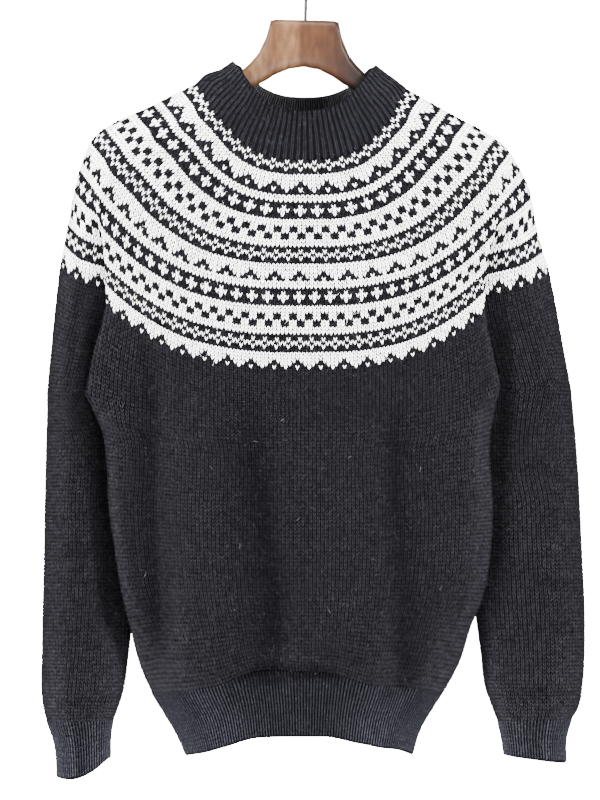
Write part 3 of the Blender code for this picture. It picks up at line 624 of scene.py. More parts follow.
def body_like(controls):
    """The underarm ring's points in a body ring's order, the underarms' middles in place of the sleeves."""
    half = len(controls) // 2
    right = controls[: half + 1]
    left = np.vstack([controls[half:], controls[:1]])
    front_right, back_right = right[: TROUGH + 1], right[BACK_TROUGH:]
    back_left, front_left = left[: half - BACK_TROUGH + 1], left[half - TROUGH : -1]
    middle_right = (front_right[-1:] + back_right[:1]) / 2
    middle_left = (back_left[-1:] + front_left[:1]) / 2
    return np.vstack([front_right, middle_right, back_right, back_left[1:], middle_left, front_left])


def straight(first, second, count):
    """Points between two ends, without the ends."""
    shares = np.arange(1, count) / count
    return first + (second - first) * shares[:, None]


def cloth_nets():
    """Rings of dense points: the upper cloth, the body below the underarms, and each sleeve below them."""
    rows = [depth.row for depth in DEPTHS]
    table = np.array([upper_controls(index) for index in range(len(DEPTHS))])
    upper = np.array([closed_curve(controls) for controls in through(rows, table, UPPER_ROWS)])
    last = upper[-1]
    a, b = TROUGH * DENSE, BACK_TROUGH * DENSE
    c, d = (UPPER_POINTS - BACK_TROUGH) * DENSE, (UPPER_POINTS - TROUGH) * DENSE
    first_body = np.vstack([
        last[: a + 1], straight(last[a], last[b], 2 * DENSE), last[b : c + 1],
        straight(last[c], last[d], 2 * DENSE), last[d:],
    ])
    body_rows = [UNDERARM_ROW] + [row.row for row in BODY]
    body_table = np.array([body_like(table[-1])] + [body_controls(row) for row in BODY])
    body = [first_body] + [closed_curve(controls) for controls in through(body_rows, body_table, BODY_ROWS)]
    sleeves = {}
    for side in (RIGHT, LEFT):
        first, end = (a, b) if side == RIGHT else (c, d)
        start_ring = np.vstack([last[first : end + 1], straight(last[end], last[first], 2 * DENSE)])
        outer = table[-1][first // DENSE : end // DENSE + 1]
        start_controls = np.vstack([outer, (outer[:1] + outer[-1:]) / 2])
        sleeve_rows = [UNDERARM_ROW] + [row.row for row in SLEEVES[side]]
        controls = np.array([start_controls] + [sleeve_controls(side, row) for row in SLEEVES[side]])
        rings = [closed_curve(one) for one in through(sleeve_rows, controls, SLEEVE_ROWS)]
        sleeves[side] = np.array([start_ring] + rings)
    return upper, np.array(body), sleeves


def lengths(line):
    """Distance of each point from the first, along an open line."""
    return np.concatenate([[0], np.cumsum(np.linalg.norm(np.diff(line, axis=0), axis=1))])


def read_at(line, reach, wanted):
    """Points of the line at the wanted distances."""
    return np.column_stack([np.interp(wanted, reach, line[:, k]) for k in range(3)])


def looped(ring):
    """The ring with its first point again at its end, and the distance to each point."""
    line = np.vstack([ring, ring[:1]])
    return line, lengths(line)


def even_rows(net_rows, net, column, first, last, count):
    """Row values from first to last at equal distances along one column of a net."""
    fine = np.linspace(first, last, 8 * count + 1)
    line = through(net_rows, net[:, column], fine)
    reach = lengths(line)
    return np.interp(np.linspace(0, reach[-1], count + 1), reach, fine)


def closed_grid(net_rows, net, rows, columns, start=0.0):
    """A grid at equal distances round each of a net's rings, from a start near the front's middle."""
    grid = []
    for ring in through(net_rows, net, rows):
        line, reach = looped(ring)
        wanted = (start + np.arange(columns) / columns * reach[-1]) % reach[-1]
        points = read_at(line, reach, wanted)
        grid.append(np.vstack([points, points[:1]]))
    return np.array(grid)


def open_grid(net_rows, net, rows, marks, columns):
    """A grid between marked places of a net, with the given columns between each pair of marks."""
    grid = []
    counts = np.concatenate([[0], np.cumsum(columns)])
    for line in through(net_rows, net[:, marks[0] : marks[-1] + 1], rows):
        reach = lengths(line)
        stops = reach[np.array(marks) - marks[0]]
        grid.append(read_at(line, reach, np.interp(np.arange(counts[-1] + 1), counts, stops)))
    return np.array(grid)


def panel_grid(net_rows, net, rows, steady):
    """A grid on an open panel: columns of one width about its middle, the others share its two edges."""
    grid = []
    middle = net.shape[1] // 2
    half = steady + CHEST_EDGE_COLUMNS
    for line in through(net_rows, net, rows):
        reach = lengths(line)
        inner = steady * STITCH_WIDTH
        stops = (0.0, reach[middle] - inner, reach[middle] + inner, reach[-1])
        counts = (0, CHEST_EDGE_COLUMNS, half + steady, 2 * half)
        grid.append(read_at(line, reach, np.interp(np.arange(2 * half + 1), counts, stops)))
    return np.array(grid)


def body_grid(net_rows, net, rows):
    """A grid on the body's rings: columns of one width at front and back, the others share its sides."""
    grid = []
    half = FRONT_HALF + BODY_SIDE_COLUMNS + BACK_HALF
    shared = FRONT_HALF + BACK_HALF + SIDE_SHARE * BODY_SIDE_COLUMNS
    counts = (0, FRONT_HALF, half - BACK_HALF, half + BACK_HALF, 2 * half - FRONT_HALF, 2 * half)
    for ring in through(net_rows, net, rows):
        line, reach = looped(ring)
        middle = reach[len(ring) // 2]
        width = min(STITCH_WIDTH, middle / shared, (reach[-1] - middle) / shared)
        front, back = FRONT_HALF * width, BACK_HALF * width
        stops = (0.0, front, middle - back, middle + back, reach[-1] - front, reach[-1])
        grid.append(read_at(line, reach, np.interp(np.arange(2 * half + 1), counts, stops)))
    return np.array(grid)


def spreading_grid(net_rows, net, rows, marks, columns):
    """As open_grid on closed rings, but the columns even out round the ring as the rows go down."""
    grid = []
    counts = np.concatenate([[0], np.cumsum(columns)])
    wanted = np.arange(counts[-1] + 1)
    for row, ring in zip(rows, through(net_rows, net, rows)):
        line, reach = looped(ring)
        stops = reach[np.array(marks)]
        own = np.interp(wanted, counts, stops)
        even = wanted / counts[-1] * reach[-1]
        share = smooth_step(0.0, SPREAD_ROWS, row - rows[0])
        grid.append(read_at(line, reach, between(own, even, share)))
    return np.array(grid)


def grid_normals(grid, closed):
    """Outward normals at a grid's points."""
    down = np.gradient(grid, axis=0)
    if closed:
        ring = grid[:, :-1]
        across = np.roll(ring, -1, axis=1) - np.roll(ring, 1, axis=1)
        across = np.concatenate([across, across[:, :1]], axis=1)
    else:
        across = np.gradient(grid, axis=1)
    cross = np.cross(across, down)
    return cross / np.maximum(np.linalg.norm(cross, axis=2), 1e-9)[:, :, None]


def smooth_step(low, high, value):
    """A smooth rise from 0 at low to 1 at high."""
    share = np.clip((value - low) / (high - low), 0.0, 1.0)
    return share * share * (3 - 2 * share)


def from_pixels(px, py):
    """A place of the front view, as X and Z."""
    return (px - PIXEL_ORIGIN[0]) * PIXEL, -(py - PIXEL_ORIGIN[1]) * PIXEL


def fold_depth(fold, x, z):
    """How deep one fold is at each place of the front view: full on its line, less at its ends and sides."""
    line = np.array([from_pixels(px, py) for px, py in fold.line])
    reach = lengths(line)
    nearest = np.full(x.shape, np.inf)
    share = np.zeros(x.shape)
    for k in range(len(line) - 1):
        step = line[k + 1] - line[k]
        along = (x - line[k, 0]) * step[0] + (z - line[k, 1]) * step[1]
        t = np.clip(along / (step @ step), 0.0, 1.0)
        away = np.hypot(x - line[k, 0] - t * step[0], z - line[k, 1] - t * step[1])
        closer = away < nearest
        nearest = np.where(closer, away, nearest)
        share = np.where(closer, (reach[k] + t * (reach[k + 1] - reach[k])) / reach[-1], share)
    ends = smooth_step(0.0, FOLD_END, share) * smooth_step(0.0, FOLD_END, 1 - share)
    return fold.depth * np.exp(-((nearest / fold.width) ** 2)) * ends


def fold_depths(points, normals, front_folds, back_folds):
    """How deep all the folds together are at each point, the front's where the cloth faces the front."""
    x, z = points[..., 0], points[..., 2]
    depth = np.zeros(x.shape)
    for folds, facing in ((front_folds, -normals[..., 1]), (back_folds, normals[..., 1])):
        weight = smooth_step(0.0, FOLD_FACING, facing)
        for fold in folds:
            depth += weight * fold_depth(fold, x, z)
    return depth


def folded(grid, front_folds, back_folds, closed):
    """The grid pushed in and out by the folds on its front and its back."""
    normals = grid_normals(grid, closed)
    return grid - fold_depths(grid, normals, front_folds, back_folds)[..., None] * normals


def settled(grid):
    """The hem's seam and lower edge dip on both sides of the middle, where the ribs hang lower."""
    away, z = np.abs(grid[..., 0] - HEM_MIDDLE_X), grid[..., 2]
    moved = grid.copy()
    for dip in HEM_DIPS:
        drop = smooth_step(*dip.comes, away) * (dip.depth - dip.lost * smooth_step(*dip.goes, away))
        moved[..., 2] -= drop * np.exp(-(((z - dip.z) / dip.half_height) ** 2))
    return moved


def settled_hem(grid):
    """The hem's grid with the body's folds, then settled."""
    return settled(folded(grid, FRONT_FOLDS, BACK_FOLDS, True))


def lowered_cuff(grid):
    """The right cuff's edge hangs lower in its middle, between rounded corners."""
    x, z = grid[..., 0], grid[..., 2]
    bulge = np.clip(1 - ((x - CUFF_MIDDLE_X) / CUFF_HALF_WIDTH) ** 2, 0.0, 1.0)
    moved = grid.copy()
    moved[..., 2] -= CUFF_DROP * bulge * smooth_step(CUFF_DROP_START, CUFF_DROP_FULL, -z)
    return moved


def new_object(name, data):
    """An object for the data, in the scene."""
    thing = bpy.data.objects.new(name, data)
    bpy.context.scene.collection.objects.link(thing)
    return thing


def make_object(name, points, faces, material):
    """A mesh object, shaded smooth, from points in millimetres and faces of one size."""
    mesh = bpy.data.meshes.new(name)
    points = np.ascontiguousarray(points, np.float32) * MM
    faces = np.ascontiguousarray(faces, np.int32)
    mesh.vertices.add(len(points))
    mesh.vertices.foreach_set("co", points.ravel())
    mesh.loops.add(faces.size)
    mesh.loops.foreach_set("vertex_index", faces.ravel())
    mesh.polygons.add(len(faces))
    mesh.polygons.foreach_set("loop_start", np.arange(0, faces.size, faces.shape[1], dtype=np.int32))
    mesh.update(calc_edges=True)
    mesh.validate()
    mesh.shade_smooth()
    mesh.materials.append(material)
    return new_object(name, mesh)


def join(node, slot, *things):
    """Joins visual pieces to the frame."""
    for thing in things:
        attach(thing, "root")
        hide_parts(node)


def wall_faces(rows, columns, closed):
    """Quads of a closed wall whose outer and inner grids each have rows by columns points."""
    index = np.arange(rows * columns).reshape(rows, columns)
    after = np.roll(index, -1, axis=1) if closed else index[:, 1:]
    here = index if closed else index[:, :-1]
    outer = np.stack([here[:-1], after[:-1], after[1:], here[1:]], axis=-1).reshape(-1, 4)
    inner = outer[:, ::-1] + rows * columns
    more = rows * columns
    top = np.stack([after[0], here[0], here[0] + more, after[0] + more], axis=-1)
    bottom = np.stack([here[-1], after[-1], after[-1] + more, here[-1] + more], axis=-1)
    faces = [outer, inner, top, bottom]
    if not closed:
        for upper, lower in ((index[:-1, 0], index[1:, 0]), (index[1:, -1], index[:-1, -1])):
            faces.append(np.stack([upper, lower, lower + more, upper + more], axis=-1))
    return np.vstack(faces)


def halved(grid):
    """Every second line of a grid each way, with its last ones kept."""
    rows = sorted({*range(0, grid.shape[0], 2), grid.shape[0] - 1})
    columns = sorted({*range(0, grid.shape[1], 2), grid.shape[1] - 1})
    return grid[np.ix_(rows, columns)]


def shell(name, grid, closed, material):
    """A thin wall just under the stitches, its outer face out from the grid's inner one."""
    normals = grid_normals(grid, closed)
    if closed:
        grid, normals = grid[:, :-1], normals[:, :-1]
    outer = grid - SHELL_DEPTH * normals
    inner = grid - KNIT_THICKNESS * normals
    faces = wall_faces(grid.shape[0], grid.shape[1], closed)
    return make_object(name, np.vstack([outer.reshape(-1, 3), inner.reshape(-1, 3)]), faces, material)


class Stitches:
    """The corners and normals of many stitches, gathered before their legs are made."""

    def __init__(self, front_folds=(), back_folds=(), edge_tone=SIDE_PAINTED_SHADE):
        self.corners = []
        self.normals = []
        self.edge_tone = edge_tone
        self.front_folds = front_folds
        self.back_folds = back_folds

    def add_grid(self, grid, closed, wanted=None):
        """Each cell of the grid as a stitch, or only those wanted."""
        normals = grid_normals(grid, closed)
        for source, target in ((grid, self.corners), (normals, self.normals)):
            cells = np.stack([source[:-1, :-1], source[:-1, 1:], source[1:, :-1], source[1:, 1:]], axis=2)
            cells = cells.reshape(-1, 4, 3)
            target.append(cells if wanted is None else cells[wanted.ravel()])

    def add_cells(self, corners, normals):
        self.corners.append(corners)
        self.normals.append(normals)

    def make(self, name, material, rng, plain=True, fullness=1.0, breadth=1.0, length=1.0):
        """Two legs of yarn on every stitch, with the tone of each point, painted shade and light included, as
        an attribute.
        """
        corners = np.concatenate(self.corners)
        normals = np.concatenate(self.normals)
        count = len(corners)
        leg, leg_faces = (PLAIN_LEG_POINTS, PLAIN_LEG_FACES) if plain else (LEG_POINTS, LEG_FACES)
        leg = leg.copy()
        middle = LEG_LINE[0] + LEG_LINE[1] * leg[:, 1]
        leg[:, 0] = middle + (leg[:, 0] - middle) * breadth
        leg[:, 1] = LEG_CENTRE + (leg[:, 1] - LEG_CENTRE) * length
        legs = np.concatenate([leg, leg * (-1, 1, 1, 1) + (1, 0, 0, 0)])
        faces = np.concatenate([leg_faces, leg_faces[:, ::-1] + len(leg)])
        u = legs[None, :, 0] + rng.normal(0, ACROSS_JITTER, (count, 1))
        v = legs[None, :, 1] * (1 + rng.normal(0, LENGTH_JITTER, (count, 1)))
        v += rng.normal(0, DOWN_JITTER, (count, 1))
        h = legs[None, :, 2] * fullness * (1 + rng.normal(0, PLUMP_JITTER, (count, 1)))
        h += rng.normal(0, HEIGHT_JITTER, (count, 1))
        points = spread(corners, u, v) + h[:, :, None] * spread(normals, u, v)
        all_faces = faces[None] + (np.arange(count) * len(legs))[:, None, None]
        made = make_object(name, points.reshape(-1, 3), all_faces.reshape(-1, 3), material)
        crest = made.data.attributes.new("crest", "FLOAT", "POINT")
        # The tone: painted shade in fold troughs, painted light on ridges, painted shade where a stitch turns
        # side on, then each point's exposure, which paints shade into the pits, and a random tone per stitch
        middles, out = corners.mean(axis=1), normals.mean(axis=1)
        depth = fold_depths(middles, out, self.front_folds, self.back_folds)
        tone = np.clip(1 - np.where(depth > 0, TROUGH_PAINTED_SHADE, RIDGE_PAINTED_LIGHT) * depth, *TONE_LIMITS)
        at_sides, in_middle, side_on, face_on = self.edge_tone
        tone *= between(at_sides, in_middle, smooth_step(side_on, face_on, np.abs(out[:, 1])))
        shade = legs[None, :, 3] * tone[:, None] * (1 + rng.normal(0, TONE_JITTER, (count, 1)))
        crest.data.foreach_set("value", shade.astype(np.float32).ravel())
        return made

    def fuzz(self, name, material, rng, count):
        """Fine curved fibres that stand off the yarn here and there, each a narrow ribbon."""
        corners = np.concatenate(self.corners)
        normals = np.concatenate(self.normals)
        chosen = rng.integers(0, len(corners), count)
        u, v = rng.uniform(0, 1, (count, 1)), rng.uniform(0, 1, (count, 1))
        start = spread(corners[chosen], u, v)[:, 0]
        out = spread(normals[chosen], u, v)[:, 0]
        across = corners[chosen, 1] - corners[chosen, 0]
        across /= np.linalg.norm(across, axis=1)[:, None]
        along = np.cross(out, across)
        turn = rng.uniform(0, 2 * math.pi, count)
        heading = np.cos(turn)[:, None] * across + np.sin(turn)[:, None] * along
        aside = np.cross(out, heading)
        length = FIBRE_LENGTH * rng.uniform(FIBRE_SHORTEST, 1.0, count)[:, None] ** FIBRE_SHORTNESS
        bend = rng.normal(0, FIBRE_BEND, (count, 1)) * length
        lift = rng.uniform(*FIBRE_RISE, (count, 1)) * length
        points = []
        for share, width in FIBRE_WIDTHS:
            rise = FIBRE_ROOT + lift * share**1.5
            middle = start + out * rise + heading * length * share + aside * bend * share**2
            points.append(middle + aside * width * FIBRE_HALF_WIDTH)
            points.append(middle - aside * width * FIBRE_HALF_WIDTH)
        points = np.stack(points[:7], axis=1).reshape(-1, 3)
        faces = np.array([(0, 2, 1), (1, 2, 3), (2, 4, 3), (3, 4, 5), (4, 6, 5)])
        faces = (faces[None] + 7 * np.arange(count)[:, None, None]).reshape(-1, 3)
        return make_object(name, points, faces, material)


def spread(corners, u, v):
    """Values at places across (u) and down (v) each cell, from its four corners."""
    u, v = u[:, :, None], v[:, :, None]
    upper = corners[:, None, 0] * (1 - u) + corners[:, None, 1] * u
    lower = corners[:, None, 2] * (1 - u) + corners[:, None, 3] * u
    return upper * (1 - v) + lower * v


def yoke_pieces(upper, rng, materials):
    """The yoke's wall and its cream and charcoal stitches."""
    cream, thin, dark = (Stitches(FRONT_FOLDS, BACK_FOLDS) for _ in range(3))
    first = 0
    for band in YOKE_BANDS:
        rows = np.arange(first, band.last_row + 1)
        middle = through(UPPER_ROWS, upper, (first + band.last_row) / 2)[0]
        round_way = looped(middle)[1][-1]
        columns = round(round_way / band.width / band.repeat) * band.repeat
        start = band.place - band.counted * round_way / columns
        grid = closed_grid(UPPER_ROWS, upper, rows, columns, start)
        grid = folded(grid, FRONT_FOLDS, BACK_FOLDS, True)
        chart = np.array([
            [YOKE_CHART[row][column % len(YOKE_CHART[row])] == "W" for column in range(columns)]
            for row in rows[:-1]
        ])
        seeds = np.array([len(YOKE_CHART[row]) == SEED_REPEAT for row in rows[:-1]])[:, None]
        cream.add_grid(grid, True, chart & ~seeds)
        thin.add_grid(grid, True, chart & seeds)
        dark.add_grid(grid, True, ~chart)
        first = band.last_row
    rows = np.linspace(0, YOKE_EDGE_ROW, YOKE_WALL_ROWS)
    grid = closed_grid(UPPER_ROWS, upper, rows, YOKE_WALL_COLUMNS)
    wall = shell("yoke_cloth", folded(grid, FRONT_FOLDS, BACK_FOLDS, True), True, materials["under"])
    return wall, [
        cream.make("yoke_cream_stitches", materials["cream"], rng, plain=False, breadth=0.82, length=0.97),
        thin.make("yoke_seed_stitches", materials["cream"], rng, plain=False, fullness=0.9, breadth=0.64),
        dark.make(
            "yoke_dark_stitches", materials["yoke_dark"], rng,
            plain=False, fullness=1.2, breadth=1.14, length=1.04,
        ),
        cream.fuzz("yoke_cream_fuzz", materials["cream_fibre"], rng, YOKE_FIBRES),
        dark.fuzz("yoke_dark_fuzz", materials["fibre"], rng, YOKE_FIBRES),
    ]


def rib_profile(turn, relief):
    """Height of a rib, from crest (turn 0) to groove (turn 1/2) and back."""
    return RIB_BASE + relief * np.cos(2 * math.pi * turn)


def rib_band(name, keys, curves, ribs, kind, materials, rng, shape=None, folds=((), ())):
    """A ribbed band through the curves: a wall with rounded ribs, and a column of stitches on each crest."""
    fine = ribs * kind.per_rib
    rings = []
    for curve in curves:
        line, reach = looped(curve)
        rings.append(read_at(line, reach, np.arange(fine) / fine * reach[-1]))
    rings = np.array(rings)
    steps = np.linspace(keys[0], keys[-1], RIB_STEPS)
    reach = lengths(through(keys, rings[:, 0], steps))
    count = max(int(round(reach[-1] / kind.row_height)), MIN_RIB_ROWS)

    def lines(levels):
        """The band's grid and its normals, with the given number of rows from its top."""
        grid = through(keys, rings, np.interp(np.linspace(0, reach[-1], levels), reach, steps))
        if kind.upwards:
            grid = grid[::-1]
        loop = np.concatenate([grid, grid[:, :1]], axis=1)
        if shape is not None:
            loop = shape(loop)
        normals = grid_normals(loop, True)
        return loop[:, :-1], normals[:, :-1]

    grid, normals = lines(RIB_WALL_LEVELS)
    relief = rib_profile(np.arange(fine) / kind.per_rib, kind.relief)[None, :, None]
    outer = grid + normals * (relief - RIB_WALL_DEPTH)
    inner = grid - normals * (kind.thickness + INNER_RELIEF * relief)
    free = 0 if kind.upwards else -1
    down = grid[-1] - grid[-2] if free else grid[0] - grid[1]
    down /= np.linalg.norm(down, axis=1)[:, None]
    middle, half = (outer[free] + inner[free]) / 2, (outer[free] - inner[free]) / 2
    round_out, round_in = [], []
    for angle in np.radians(EDGE_ANGLES):
        beyond = down * kind.thickness * EDGE_ROUNDING * math.sin(angle)
        round_out.append(middle + half * math.cos(angle) + beyond)
        round_in.append(middle - half * math.cos(angle) + beyond)
    if kind.upwards:
        outer = np.concatenate([np.array(round_out[::-1]), outer])
        inner = np.concatenate([np.array(round_in[::-1]), inner])
    else:
        outer = np.concatenate([outer, np.array(round_out)])
        inner = np.concatenate([inner, np.array(round_in)])
    faces = wall_faces(outer.shape[0], fine, True)
    points = np.vstack([outer.reshape(-1, 3), inner.reshape(-1, 3)])
    wall = make_object(name, points, faces, materials["under_rib"])

    # The folds and the ribbing's side values only set the stitches' painted shade and light
    stitches = Stitches(*folds, edge_tone=kind.edge_tone)
    places, place_normals = lines(count + 1)
    for rib in range(ribs):
        middle_column = rib * kind.per_rib
        n = place_normals[:, middle_column % fine]
        a = places[:, (middle_column - kind.crest_half) % fine] + RIB_LIFT * n
        b = places[:, (middle_column + kind.crest_half) % fine] + RIB_LIFT * n
        corners = np.stack([a[:-1], b[:-1], a[1:], b[1:]], axis=1)
        stitches.add_cells(corners, np.stack([n[:-1], n[:-1], n[1:], n[1:]], axis=1))
    stitches_name = name.replace("_cloth", "_stitches")
    made = [
        stitches.make(stitches_name, materials[kind.yarn], rng, breadth=0.9, length=1.25),
        stitches.fuzz(name.replace("_cloth", "_fuzz"), materials["fibre"], rng, RIB_FIBRES),
    ]
    if kind.upwards:
        columns = np.arange(2 * ribs) * kind.per_rib // 2
        n = place_normals[:, columns]
        a = places[:, (columns + 1) % fine] - (kind.thickness + INNER_STITCH_DEPTH) * n
        b = places[:, (columns - 1) % fine] - (kind.thickness + INNER_STITCH_DEPTH) * n
        levels, after = slice(0, INNER_COLLAR_ROWS), slice(1, INNER_COLLAR_ROWS + 1)
        inside = Stitches()
        inside.add_cells(
            np.stack([a[levels], b[levels], a[after], b[after]], axis=2).reshape(-1, 4, 3),
            -np.stack([n[levels], n[levels], n[after], n[after]], axis=2).reshape(-1, 4, 3),
        )
        inside_name = name.replace("_cloth", "_inside")
        made.append(inside.make(inside_name, materials["inside"], rng, breadth=1.2, length=1.25))
    return wall, made


def collar_curves():
    """The collar's rings above the yoke, each a saddle: high at the shoulders, low at front and back."""
    curves = []
    turns = np.radians(np.arange(0, 360, 2))
    across, depth = np.sin(turns), np.cos(turns)
    for row in COLLAR:
        reach = np.where(across > 0, row.right_x, row.left_x)
        middle_z = np.where(depth > 0, row.front_z, row.back_z)
        side_z = np.where(across > 0, row.right_z, row.left_z)
        middle_y = np.where(depth > 0, row.front_y, row.back_y)
        x = -np.sign(across) * reach * np.abs(across)
        y = middle_y * np.abs(depth)
        z = between(middle_z, side_z, np.abs(across) ** COLLAR_SADDLE_POWER)
        z -= COLLAR_CORNER * row.share**2 * smooth_step(0.88, 1.0, np.abs(across)) ** 2
        curves.append(np.column_stack([x, y, z]))
    return curves


def make_lint(cloth, material):
    """A few pale hairs that lie on the front of the body, each a narrow curved ribbon."""
    points, faces = [], []
    normals = grid_normals(cloth, True)
    for px, py, length, angle in LINT:
        x, z = from_pixels(px, py)
        away = np.hypot(cloth[..., 0] - x, cloth[..., 2] - z) + np.where(normals[..., 1] < 0, 0.0, BEHIND)
        at = np.unravel_index(np.argmin(away), away.shape)
        start, out = cloth[at] + LINT_LIFT * normals[at], normals[at]
        heading = np.array((math.cos(math.radians(angle)), 0.0, math.sin(math.radians(angle))))
        heading -= out * (heading @ out)
        aside = np.cross(out, heading)
        first = len(points)
        for step in range(LINT_STEPS + 1):
            share = step / LINT_STEPS
            middle = start + heading * length * share + aside * length * LINT_BEND * share * share
            half = LINT_HALF_WIDTH * (1 - 0.5 * share)
            points += [middle + aside * half, middle - aside * half]
        for k in range(first, first + 2 * LINT_STEPS, 2):
            faces.append((k, k + 2, k + 3, k + 1))
    return make_object("lint", points, faces, material)


def hanger_sections():
    """Half of the hanger's sections, from the neck out, the arms just below the cloth that they carry."""
    sections = list(HANGER)
    below_cloth = (KNIT_THICKNESS + SEAT_GAP) * math.hypot(1.0, SHOULDER_SLOPE)
    for reach in ARM_STATIONS:
        top = ridge(reach) - below_cloth
        sections.append(Wood(reach, top, top - ARM_HEIGHT, ARM_HALF_DEPTH, 1.0))
    for reach, share in ARM_END:
        middle = ridge(reach) - below_cloth - ARM_END_DROP - ARM_HEIGHT / 2
        half = ARM_HEIGHT / 2 * share
        sections.append(Wood(reach, middle + half, middle - half, ARM_HALF_DEPTH * share, 1.0))
    return sections


def quads_and_caps(quads, caps):
    """Quads cut into triangles, followed by the triangles of the caps."""
    quads = np.array(quads)
    return np.vstack([quads[:, [0, 1, 2]], quads[:, [0, 2, 3]], np.array(caps)])


def make_hanger(material):
    """The wooden hanger, lofted along its arms through rounded sections."""
    half = hanger_sections()
    sections = [row._replace(reach=-row.reach) for row in half[:0:-1]] + half
    points, faces, caps = [], [], []
    turns = 2 * math.pi * (np.arange(WOOD_SIDES) + 0.5) / WOOD_SIDES
    for reach, top, bottom, depth, roundness in sections:
        middle, tall = (top + bottom) / 2, (top - bottom) / 2
        for turn in turns:
            cos, sin = math.cos(turn), math.sin(turn)
            y = depth * math.copysign(abs(cos) ** roundness, cos)
            rise = tall * math.copysign(abs(sin) ** roundness, sin)
            x, z = tilted(reach, middle + rise)
            neck = 1 - smooth_step(*SHIFT_FADE, abs(reach))
            x += HANGER_SHIFT * neck
            z += between(HANGER_LIFT_LOW, HANGER_LIFT_TOP, smooth_step(*LIFT_HEIGHTS, z)) * neck
            points.append((x, y, z))
    for level in range(len(sections) - 1):
        for k in range(WOOD_SIDES):
            a, b = level * WOOD_SIDES + k, level * WOOD_SIDES + (k + 1) % WOOD_SIDES
            faces.append((a, b, b + WOOD_SIDES, a + WOOD_SIDES))
    last = (len(sections) - 1) * WOOD_SIDES
    for end, turned in ((0, True), (last, False)):
        points.append(tuple(np.mean(points[end : end + WOOD_SIDES], axis=0)))
        for k in range(WOOD_SIDES):
            a, b = end + k, end + (k + 1) % WOOD_SIDES
            caps.append((len(points) - 1, b, a) if turned else (len(points) - 1, a, b))
    return make_object("hanger_wood", points, quads_and_caps(faces, caps), material)


def make_hook(material):
    """The wire hook, a round tube along its route."""
    radius = HOOK_INNER_RADIUS + WIRE_RADIUS
    middle_z = -HOOK_INNER_RADIUS
    lean = math.acos(HOOK_BEND_RADIUS / (radius + HOOK_BEND_RADIUS))
    bend_z = middle_z - (radius + HOOK_BEND_RADIUS) * math.sin(lean)
    route = [(0.0, NECK_TOP + HOOK_GAP), (0.0, between(NECK_TOP, bend_z, 0.5))]
    for share in np.linspace(0, 1, HOOK_BEND_STEPS)[:-1]:
        turn = lean * share
        route.append((HOOK_BEND_RADIUS * (1 - math.cos(turn)), bend_z + HOOK_BEND_RADIUS * math.sin(turn)))
    for turn in np.linspace(-lean, HOOK_END_ANGLE, HOOK_STEPS):
        route.append((radius * math.cos(turn), middle_z + radius * math.sin(turn)))
    curve = bpy.data.curves.new("hook_wire", "CURVE")
    curve.dimensions = "3D"
    curve.bevel_depth = WIRE_RADIUS * MM
    curve.bevel_resolution = 6
    curve.use_fill_caps = True
    spline = curve.splines.new("POLY")
    spline.points.add(len(route) - 1)
    for point, (x, z) in zip(spline.points, route):
        x, z = tilted(x + HOOK_OFFSET, z)
        point.co = (x * MM, 0.0, z * MM, 1.0)
    curve.materials.append(material)
    return new_object("hook_wire", curve)


def new_material(name):
    material = bpy.data.materials.new(name)
    material.use_nodes = True
    nodes, links = material.node_tree.nodes, material.node_tree.links
    return material, nodes, links, nodes["Principled BSDF"]


def noise(nodes, links, scale, detail, stretch=(1.0, 1.0, 1.0)):
    """A noise texture in the object's own space, in waves per metre."""
    place = nodes.new("ShaderNodeTexCoord")
    mapping = nodes.new("ShaderNodeMapping")
    mapping.inputs["Scale"].default_value = stretch
    texture = nodes.new("ShaderNodeTexNoise")
    texture.inputs["Scale"].default_value = scale
    texture.inputs["Detail"].default_value = detail
    links.new(place.outputs["Object"], mapping.inputs["Vector"])
    links.new(mapping.outputs["Vector"], texture.inputs["Vector"])
    return texture


def ramp(nodes, links, source, stops):
    """A colour ramp from the source's value, stops as (place, colour)."""
    made = nodes.new("ShaderNodeValToRGB")
    elements = made.color_ramp.elements
    while len(elements) < len(stops):
        elements.new(0.5)
    for element, (place, color) in zip(elements, stops):
        element.position = place
        element.color = (*color, 1.0)
    links.new(source, made.inputs["Fac"])
    return made.outputs["Color"]


def scaled(nodes, links, color, share):
    """The colour times the share."""
    made = nodes.new("ShaderNodeVectorMath")
    made.operation = "SCALE"
    links.new(color, made.inputs[0])
    links.new(share, made.inputs["Scale"])
    return made.outputs["Vector"]


def bumped(nodes, links, height, strength, distance):
    """The normal of a surface with the heights raised on it."""
    bump = nodes.new("ShaderNodeBump")
    bump.inputs["Strength"].default_value = strength
    bump.inputs["Distance"].default_value = distance
    links.new(height, bump.inputs["Height"])
    return bump.outputs["Normal"]


